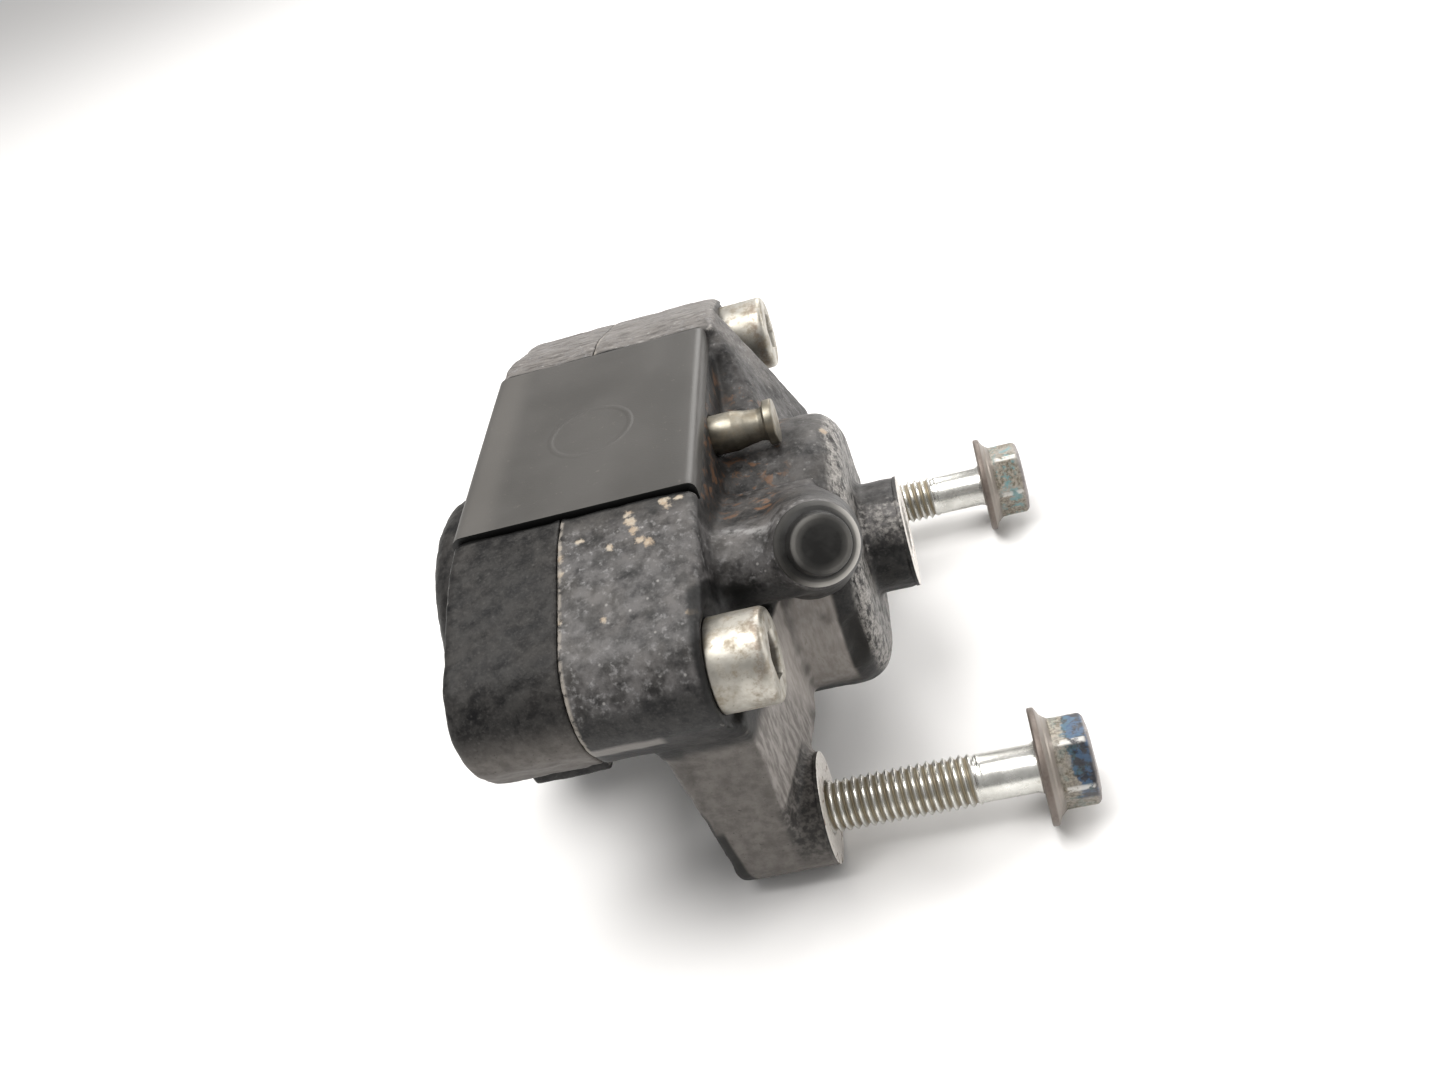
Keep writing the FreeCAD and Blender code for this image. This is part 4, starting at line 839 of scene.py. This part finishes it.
def inboard_cutters():
    """The wide pocket round the near screw's head, the room for the face rings, and the hollows of the
    near flank below the bleed boss: a groove and a slab."""
    pocket = turned([(-5.9, 0), (-5.9, 8.0), (2.5, 9.3), (2.5, 0)], 96)
    # the machined faces are cut back to let the face rings lie in front of them
    skim = turned([(-0.35, 0), (-0.35, 9.6), (2.0, 9.6), (2.0, 0)], 96)
    start, end = Vector((0.8, -22.9, 32.0)), Vector((6.4, -22.2, 24.6))
    length = (end - start).length
    groove = turned([(0, 0), (0, 1.0), (length, 1.5), (length + 1.0, 0)], 32)
    slab = ([(7.7, -26, 22.6), (11.1, -26, 24.6), (11.0, -26, 12.4), (8.4, -26, 12.8),
             (7.9, -20.9, 22.4), (11.0, -20.3, 24.3), (10.9, -20.3, 12.8), (8.7, -20.9, 13.2)],
            [(0, 1, 2, 3), (7, 6, 5, 4), (0, 4, 5, 1), (1, 5, 6, 2), (2, 6, 7, 3), (3, 7, 4, 0)])
    faces = (0, -LUG_Y, 0), (0, LUG_Y, 0), (PORT_FACE, 0, BORE_Z)
    return [cutter(pocket, axis_matrix((0, -SCREW_Y, SCREW_Z))),
            *(cutter(skim, axis_matrix(face)) for face in faces),
            cutter(groove, axis_matrix(start, (end - start).normalized())),
            cutter(slab, Matrix.Identity(4))]


def casting(name, node, paint, skin_of, cutters=()):
    """A cast half with soft edges, filled corners and a slightly uneven skin.
    skin_of(points) is 0 where the surface is machined and stays as it is, and 1 on the cast skin."""
    piece = new_piece(name, welded(node))
    for tool in cutters:
        set_fields(piece.modifiers.new("cut", "BOOLEAN"), operation="DIFFERENCE", solver="EXACT", object=tool)
        apply_modifiers(piece)
        bpy.data.objects.remove(tool)
    set_fields(piece.modifiers.new("remesh", "REMESH"), mode="VOXEL", voxel_size=VOXEL * MM)
    apply_modifiers(piece)
    mesh = piece.data
    edges = read(mesh.edges, "vertices", np.int32, 2)
    points = positions(mesh)
    skin = skin_of(points)
    everywhere = np.ones(len(points))
    # the voxels' stairs go, then hollow corners are filled
    points = relaxed(points, edges, 0.12 + 0.88 * skin, rounds=9)
    put(mesh, points)
    normals = normals_of(mesh)
    points = relaxed(points, edges, skin * filled(points), rounds=14, normals=normals)
    points = relaxed(points, edges, skin, rounds=3)
    height = sum(wobble(points, *wave) for wave in SKIN_WAVES)
    points += normals * (height * skin)[:, None]
    put(mesh, points)
    # how far each point stands out from its surroundings
    relief = np.einsum("ij,ij->i", normals_of(mesh), points - relaxed(points, edges, everywhere, rounds=14))
    relief = relaxed(np.repeat(relief[:, None], 3, 1), edges, everywhere, rounds=3)[:, 0]
    set_relief(mesh, relief * (0.35 + 0.65 * skin))
    mesh.materials.append(paint)
    mesh.materials.append(bare_metal)
    centres = read(mesh.polygons, "center") / MM
    in_bore = radial(centres, 0, BORE_Z) < BORE_RADIUS + 0.4
    in_bore &= (centres[:, 0] > BORE_LEFT) & (centres[:, 0] < BORE_RIGHT)
    mesh.polygons.foreach_set("material_index", in_bore.astype(np.int32))
    smooth(mesh)
    settle(piece, "caliper", node)


def face_ring(name, face, y, z, outer, hole):
    """The crisp machined end of a boss: its face, its painted outer edge and the start of its hole."""
    depth = 0.6
    path = rounded([(-depth, outer), (0, outer), (0, hole), (-depth, hole)], [0, 0.12, 0.30, 0], 3)
    shape = turned(path + [path[0]], 120)
    ring = finished(name, shape, axis_matrix((face, y, z)), face_metal, "caliper", None, 30)
    ring.data.materials.append(inboard_paint)
    for polygon in ring.data.polygons:
        across = math.hypot(polygon.center.y / MM - y, polygon.center.z / MM - z)
        polygon.material_index = int(across > outer - 0.03)


bare_metal = bare_casting()
face_metal = lug_metal()
inboard_paint = cast_paint("worn_black_casting_inboard", True)
outboard_paint = cast_paint("worn_black_casting_outboard", False)

casting("inboard_casting", "inboard_half", inboard_paint, inboard_skin, inboard_cutters())
casting("outboard_casting", "outboard_half", outboard_paint, outboard_skin)
for side, sign in SIDES:
    face_ring(f"{side}_lug_ring", 0.0, sign * LUG_Y, 0, outer=LUG_RADIUS, hole=4.05)
face_ring("port_ring", PORT_FACE, 0, BORE_Z, outer=9.03, hole=5.0)


# ---- pad cover

def cover_sheet(material):
    """The sprung sheet: a bent strip with a slightly crowned top, a rolled lip and broken corners."""
    low, high = (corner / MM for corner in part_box("pad_cover"))
    thick, crown, rows, hook = 1.2, 0.10, 46, 51.2
    outline = [(low.x, low.z), (low.x, high.z), (high.x, high.z), (high.x, hook)]
    path = rounded(outline, [0, 2.2, 2.2, 0], 10)
    # the outline seen along Y, in steps of about 1.2 mm, and the same moved inward
    outside = []
    for a, b in zip(path, path[1:]):
        steps = max(1, int(math.dist(a, b) / 1.2))
        dx, dz = b[0] - a[0], b[1] - a[1]
        outside += [(a[0] + dx * k / steps, a[1] + dz * k / steps) for k in range(steps)]
    outside.append(path[-1])
    inside = []
    for i, (x, z) in enumerate(outside):
        before, after = outside[max(i - 1, 0)], outside[min(i + 1, len(outside) - 1)]
        dx, dz = after[0] - before[0], after[1] - before[1]
        length = math.hypot(dx, dz)
        inside.append((x + dz / length * thick, z - dx / length * thick))
    loop = outside + inside[::-1]
    points, rings = [], []
    for row in range(rows + 1):
        across = 2 * row / rows - 1
        rings.append(range(len(points), len(points) + len(loop)))
        points += [(x, high.y * across, z - crown * across ** 2) for x, z in loop]
    faces = bridged(rings)
    for ring in (rings[0], rings[-1]):
        faces += [(ring[i], ring[i + 1], ring[-2 - i], ring[-1 - i]) for i in range(len(outside) - 1)]
    sheet = finished("pad_cover_sheet", (points, faces), Matrix.Identity(4), material, "cover", "pad_cover")
    break_edges(sheet, 0.28, 3, 50)


cover_material = cover_plastic()
cover_sheet(cover_material)


# ---- screws, pin and cap

def socket_screw(name, node, y, material):
    """An M8 socket head cap screw: rounded rim, hexagon socket, plain shank."""
    head = 8.0
    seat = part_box(node)[1].x / MM - head
    profile = [(-30, 0), (-30, 3.0), (-29, 3.95), (0, 3.95), (0, 6.5), (head, 6.5), (head, 4.2)]
    path = rounded(profile, [0, 0, 0, 0.3, 0.3, 1.1, 0], 6)
    # the corners of the socket, and its width there as a part of 6 mm
    socket = {(head, 3.55): 1.07, (7.65, 3.2): 1.0, (3.9, 3.2): 1.0, (3.7, 3.0): 0.93}
    reach = hexagon_reach(6.0)

    def radius_at(angle, x, r):
        return reach(angle) * socket[x, r] if (x, r) in socket else r

    shape = turned([*path, *socket, (3.1, 0)], 120, radius_at)
    finished(name, shape, axis_matrix((seat, y, SCREW_Z)), material, "caliper", node, 35)


def flange_bolt(name, node, body, y, material):
    """An M8 x 1.25 flange bolt with a real helical thread and a chamfered hexagon."""
    tip, top = (corner.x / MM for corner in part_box(node))
    flange = tip + BOLT_LENGTH
    height = top - flange
    dome, shank, thread_end = 1.7, 3.6, -8.2
    hexagon = hexagon_reach(12.0)
    head = rounded([(0, shank), (0, 8.75), (1.0, 8.75), (1.6, 7.5), (1.9, 7.3), (2.6, 5.9)],
                   [0, 0.35, 0.4, 0.5, 0.4, 0])
    head += [(x, 5.0) for x in (2.7, 2.9, 3.2, 3.7, 4.2, 5.0, 5.8)]
    head += [(height - dome * math.cos(0.1 * math.pi * k / 2), 5.0) for k in range(1, 10)]
    head += [(height - 0.02, 4.9), (height, 4.6), (height - 0.25, 3.6), (height - 0.3, 0)]

    def radius_at(angle, x, r):
        if x < 0.95 or r < 4.95 and x > 2.65:
            return r
        over = min(1.0, max(0.0, (x - (height - dome)) / dome))
        return max(r, min(hexagon(angle - HEX_TURN), 5.2 + 1.75 * math.sqrt(1 - over * over)))

    shape = joined([
        turned(head, 144, radius_at),
        turned([(-9.0, shank), (-0.9, shank), (0.02, 3.95)], 72),
        thread(-BOLT_LENGTH, thread_end),
        turned([(-BOLT_LENGTH, 0), (-BOLT_LENGTH, 3.22)], 60),
    ])
    bolt = finished(name, shape, axis_matrix((flange, y, 0)), material, body, node, 32)
    # the paint's relief: 1 in the roots of the thread, and on the corners of the head, which get bare metal and a
    # painted highlight
    points = positions(bolt.data)
    across = radial(points, y, 0)
    roots = np.clip((3.86 - across) / 0.42, 0, 1) * (points[:, 0] < flange - 9.6)
    corners = np.clip((across - 6.55) / 0.25, 0, 1) * (points[:, 0] > flange + 3.0)
    set_relief(bolt.data, roots + corners)


def turned_pin(material):
    """The pad pin, with the sleeve's shoulders and the grip disc on its end."""
    tip, end = (corner.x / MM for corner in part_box("pad_pin"))
    profile = [(tip, 0), (tip, 1.7), (tip + 1.2, 2.5), (-9.9, 2.5), (-9.1, 3.12), (-8.5, 3.12), (-8.5, 2.5),
               (-6.1, 2.5), (-6.1, 3.12), (-1.4, 3.12), (0.6, 2.7), (2.6, 2.45), (3.5, 2.75), (3.65, 3.5),
               (end, 3.5), (end, 0)]
    radii = [0, 0.3, 0.5, 0.3, 0.2, 0.1, 0.1, 0.1, 0.1, 1.2, 1.2, 1.0, 0.3, 0.3, 0.3, 0]
    finished("pad_pin_turned", turned(rounded(profile, radii), 80), axis_matrix((0, 0, PIN_Z)), material,
             "pin", "pad_pin", 45)


def bleed_cap(material):
    """The rubber cap over the bleed screw, with pale painted highlights on its crown and on the lit side of its
    skirt.
    """
    joint = next(j for j in frame["joints"] if j["name"] == "bleed_screw_turn")
    direction = Vector(joint["axis"]).normalized()
    seat = Vector(joint["pos_m"]) / MM + direction * 5.0
    matrix = axis_matrix(seat, direction)
    profile = [(0.4, 4.95), (0.4, 5.7), (3.0, 5.7), (3.9, 5.0), (4.4, 4.25), (9.2, 3.95), (9.2, 2.4),
               (9.2, 1.2), (9.2, 0)]
    outer = rounded(profile, [0, 0.5, 1.1, 0.6, 0.5, 0.9, 0, 0, 0], 6)
    inner = [(8.0, 0), (8.0, 2.95), (3.2, 2.95), (3.2, 4.95), (0.4, 4.95)]
    cap = finished("bleed_cap_moulded", turned(outer + inner, 96), matrix, material, "dust_cap", "bleed_cap",
                   50)
    # the paint's relief: painted highlight on the lit side of the skirt and round the crown
    local = np.array([matrix.inverted() @ v.co for v in cap.data.vertices]) / MM
    along, across = local[:, 0], np.hypot(local[:, 1], local[:, 2])
    spokes = positions(cap.data) - np.array(seat) - local[:, :1] * np.array(direction)
    # how far each point faces the side of the skirt that gets the painted highlight
    side = spokes @ np.array((0.77, -0.23, -0.57)) / np.maximum(across, 0.1)
    skirt = (1 - falloff(np.abs(along - 2.9), 0.6, 1.6)) * falloff(across, 4.6, 5.3)
    crown = (1 - falloff(np.abs(across - 3.55), 0.15, 0.55)) * falloff(along, 8.4, 8.9)
    set_relief(cap.data, skirt * (0.08 + 0.92 * falloff(side, -0.3, 0.7))
               + crown * (0.06 + 0.16 * falloff(np.abs(side), 0.2, 0.9)))


screw_metal = plated("worn_nickel", (0.30, 0.285, 0.25), (0.47, 0.45, 0.405), 0.85)
pin_metal = plated("pin_steel", (0.16, 0.148, 0.120), (0.30, 0.28, 0.235), 0.7)
bolt_metal = bolt_zinc()
cap_material = rubber("dust_cap_rubber", 0.010)

for side, sign in SIDES:
    socket_screw(f"{side}_bridge_screw", f"bridge_bolt_{side}", sign * SCREW_Y, screw_metal)
for side, sign in SIDES:
    flange_bolt(f"{side}_flange_bolt", f"mounting_bolt_{side}", f"{side}_bolt", sign * LUG_Y, bolt_metal)
turned_pin(pin_metal)
bleed_cap(cap_material)


# ---- pads and what stays as in the CAD

def soften(name, node, body, material, width):
    """A CAD node's shape with its edges broken by a small bevel."""
    piece = new_piece(name, welded(node), material)
    break_edges(piece, width, 2, 40)
    settle(piece, body, node)


backing = backing_steel()
lining = friction_lining()
for side in ("outboard", "inboard"):
    soften(f"{side}_pad_plate", f"{side}_pad_backing", f"{side}_pad", backing, 0.3)
    soften(f"{side}_pad_block", f"{side}_pad_lining", f"{side}_pad", lining, 0.35)

PAINTED = {
    "piston_steel": plain_steel("ground_piston_steel", (0.60, 0.60, 0.61), 0.24, (1.0, 8.0, 8.0)),
    "spring_steel": plain_steel("spring_steel", (0.42, 0.41, 0.39), 0.34, (6.0, 1.0, 6.0)),
    "seal_rubber": rubber("seal_rubber", 0.012),
    "zinc_steel": bolt_metal,
    "worn_steel": screw_metal,
    "backing_steel": backing,
    "friction_lining": lining,
    "casting": outboard_paint,
    "cover_plastic": cover_material,
    "cap_rubber": cap_material,
}
for row in frame["record"]["subparts"]:
    cad = NODES[row["node"]]
    material = PAINTED[row["material_slot"]]
    if cad.data.materials:
        for index in range(len(cad.data.materials)):
            cad.data.materials[index] = material
    else:
        cad.data.materials.append(material)
    smooth(cad.data, 30)


# ---- stage, light and camera

def lay_floor():
    """A wide pale floor just under the lowest point."""
    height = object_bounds()[0][2] / MM - 0.02
    corners = [(9000 * x, 9000 * y, height) for x, y in ((-1, -1), (1, -1), (1, 1), (-1, 1))]
    material = Paint("pale_floor", 0.85).finish((0.82, 0.815, 0.81))
    new_piece("floor", mesh_from("floor", corners, [(0, 1, 2, 3)]), material)


def light_world():
    """A soft white sky that is brighter above than at the horizon."""
    world = bpy.data.worlds.new("studio")
    world.use_nodes = True
    tree = world.node_tree
    coords, apart, ramp = (tree.nodes.new("ShaderNode" + kind)
                           for kind in ("TexCoord", "SeparateXYZ", "MapRange"))
    heights, strengths = (-0.1, 0.9), (0.30, 0.62)
    for index, number in enumerate(heights + strengths, 1):
        ramp.inputs[index].default_value = number
    background = tree.nodes["Background"]
    background.inputs["Color"].default_value = (1.0, 0.99, 0.98, 1.0)
    tree.links.new(coords.outputs["Generated"], apart.inputs[0])
    tree.links.new(apart.outputs[2], ramp.inputs[0])
    tree.links.new(ramp.outputs[0], background.inputs["Strength"])
    bpy.context.scene.world = world


def hang_lamps():
    """Three square lamps aimed at the caliper: place and width in metres, power in watts."""
    middle = Vector((-0.012, 0.0, 0.025))
    for name, place, width, power in (
        ("key", (-0.25, -0.05, 0.95), 0.60, 11.0),
        ("back", (0.25, 0.80, 0.55), 0.60, 6.0),
        ("side", (0.85, 0.20, 0.45), 0.45, 4.5),
    ):
        lamp = bpy.data.lights.new(name, "AREA")
        holder = new_piece(name, set_fields(lamp, size=width, energy=power, color=(1.0, 0.985, 0.965)))
        holder.location = place
        holder.rotation_euler = (middle - Vector(place)).to_track_quat("-Z", "Y").to_euler()


def set_camera():
    """The fitted camera: its place in metres, and its right, down and forward directions."""
    place = (0.030642, -0.16907, 0.148763)
    right = Vector((0.95611, 0.01625, -0.29254))
    down = Vector((-0.22361, -0.60471, -0.76441))
    ahead = Vector((-0.18932, 0.79628, -0.57454))
    lens = set_fields(bpy.data.cameras.new("camera"), sensor_width=36.0, lens=32.39, clip_start=0.01,
                      clip_end=100.0)
    holder = new_piece("camera", lens)
    turn = Matrix((right, -down, -ahead)).transposed().to_4x4()
    holder.matrix_world = Matrix.Translation(place) @ turn
    bpy.context.scene.camera = holder


lay_floor()
light_world()
hang_lamps()
set_camera()
bpy.context.scene.view_settings.view_transform = "Standard"
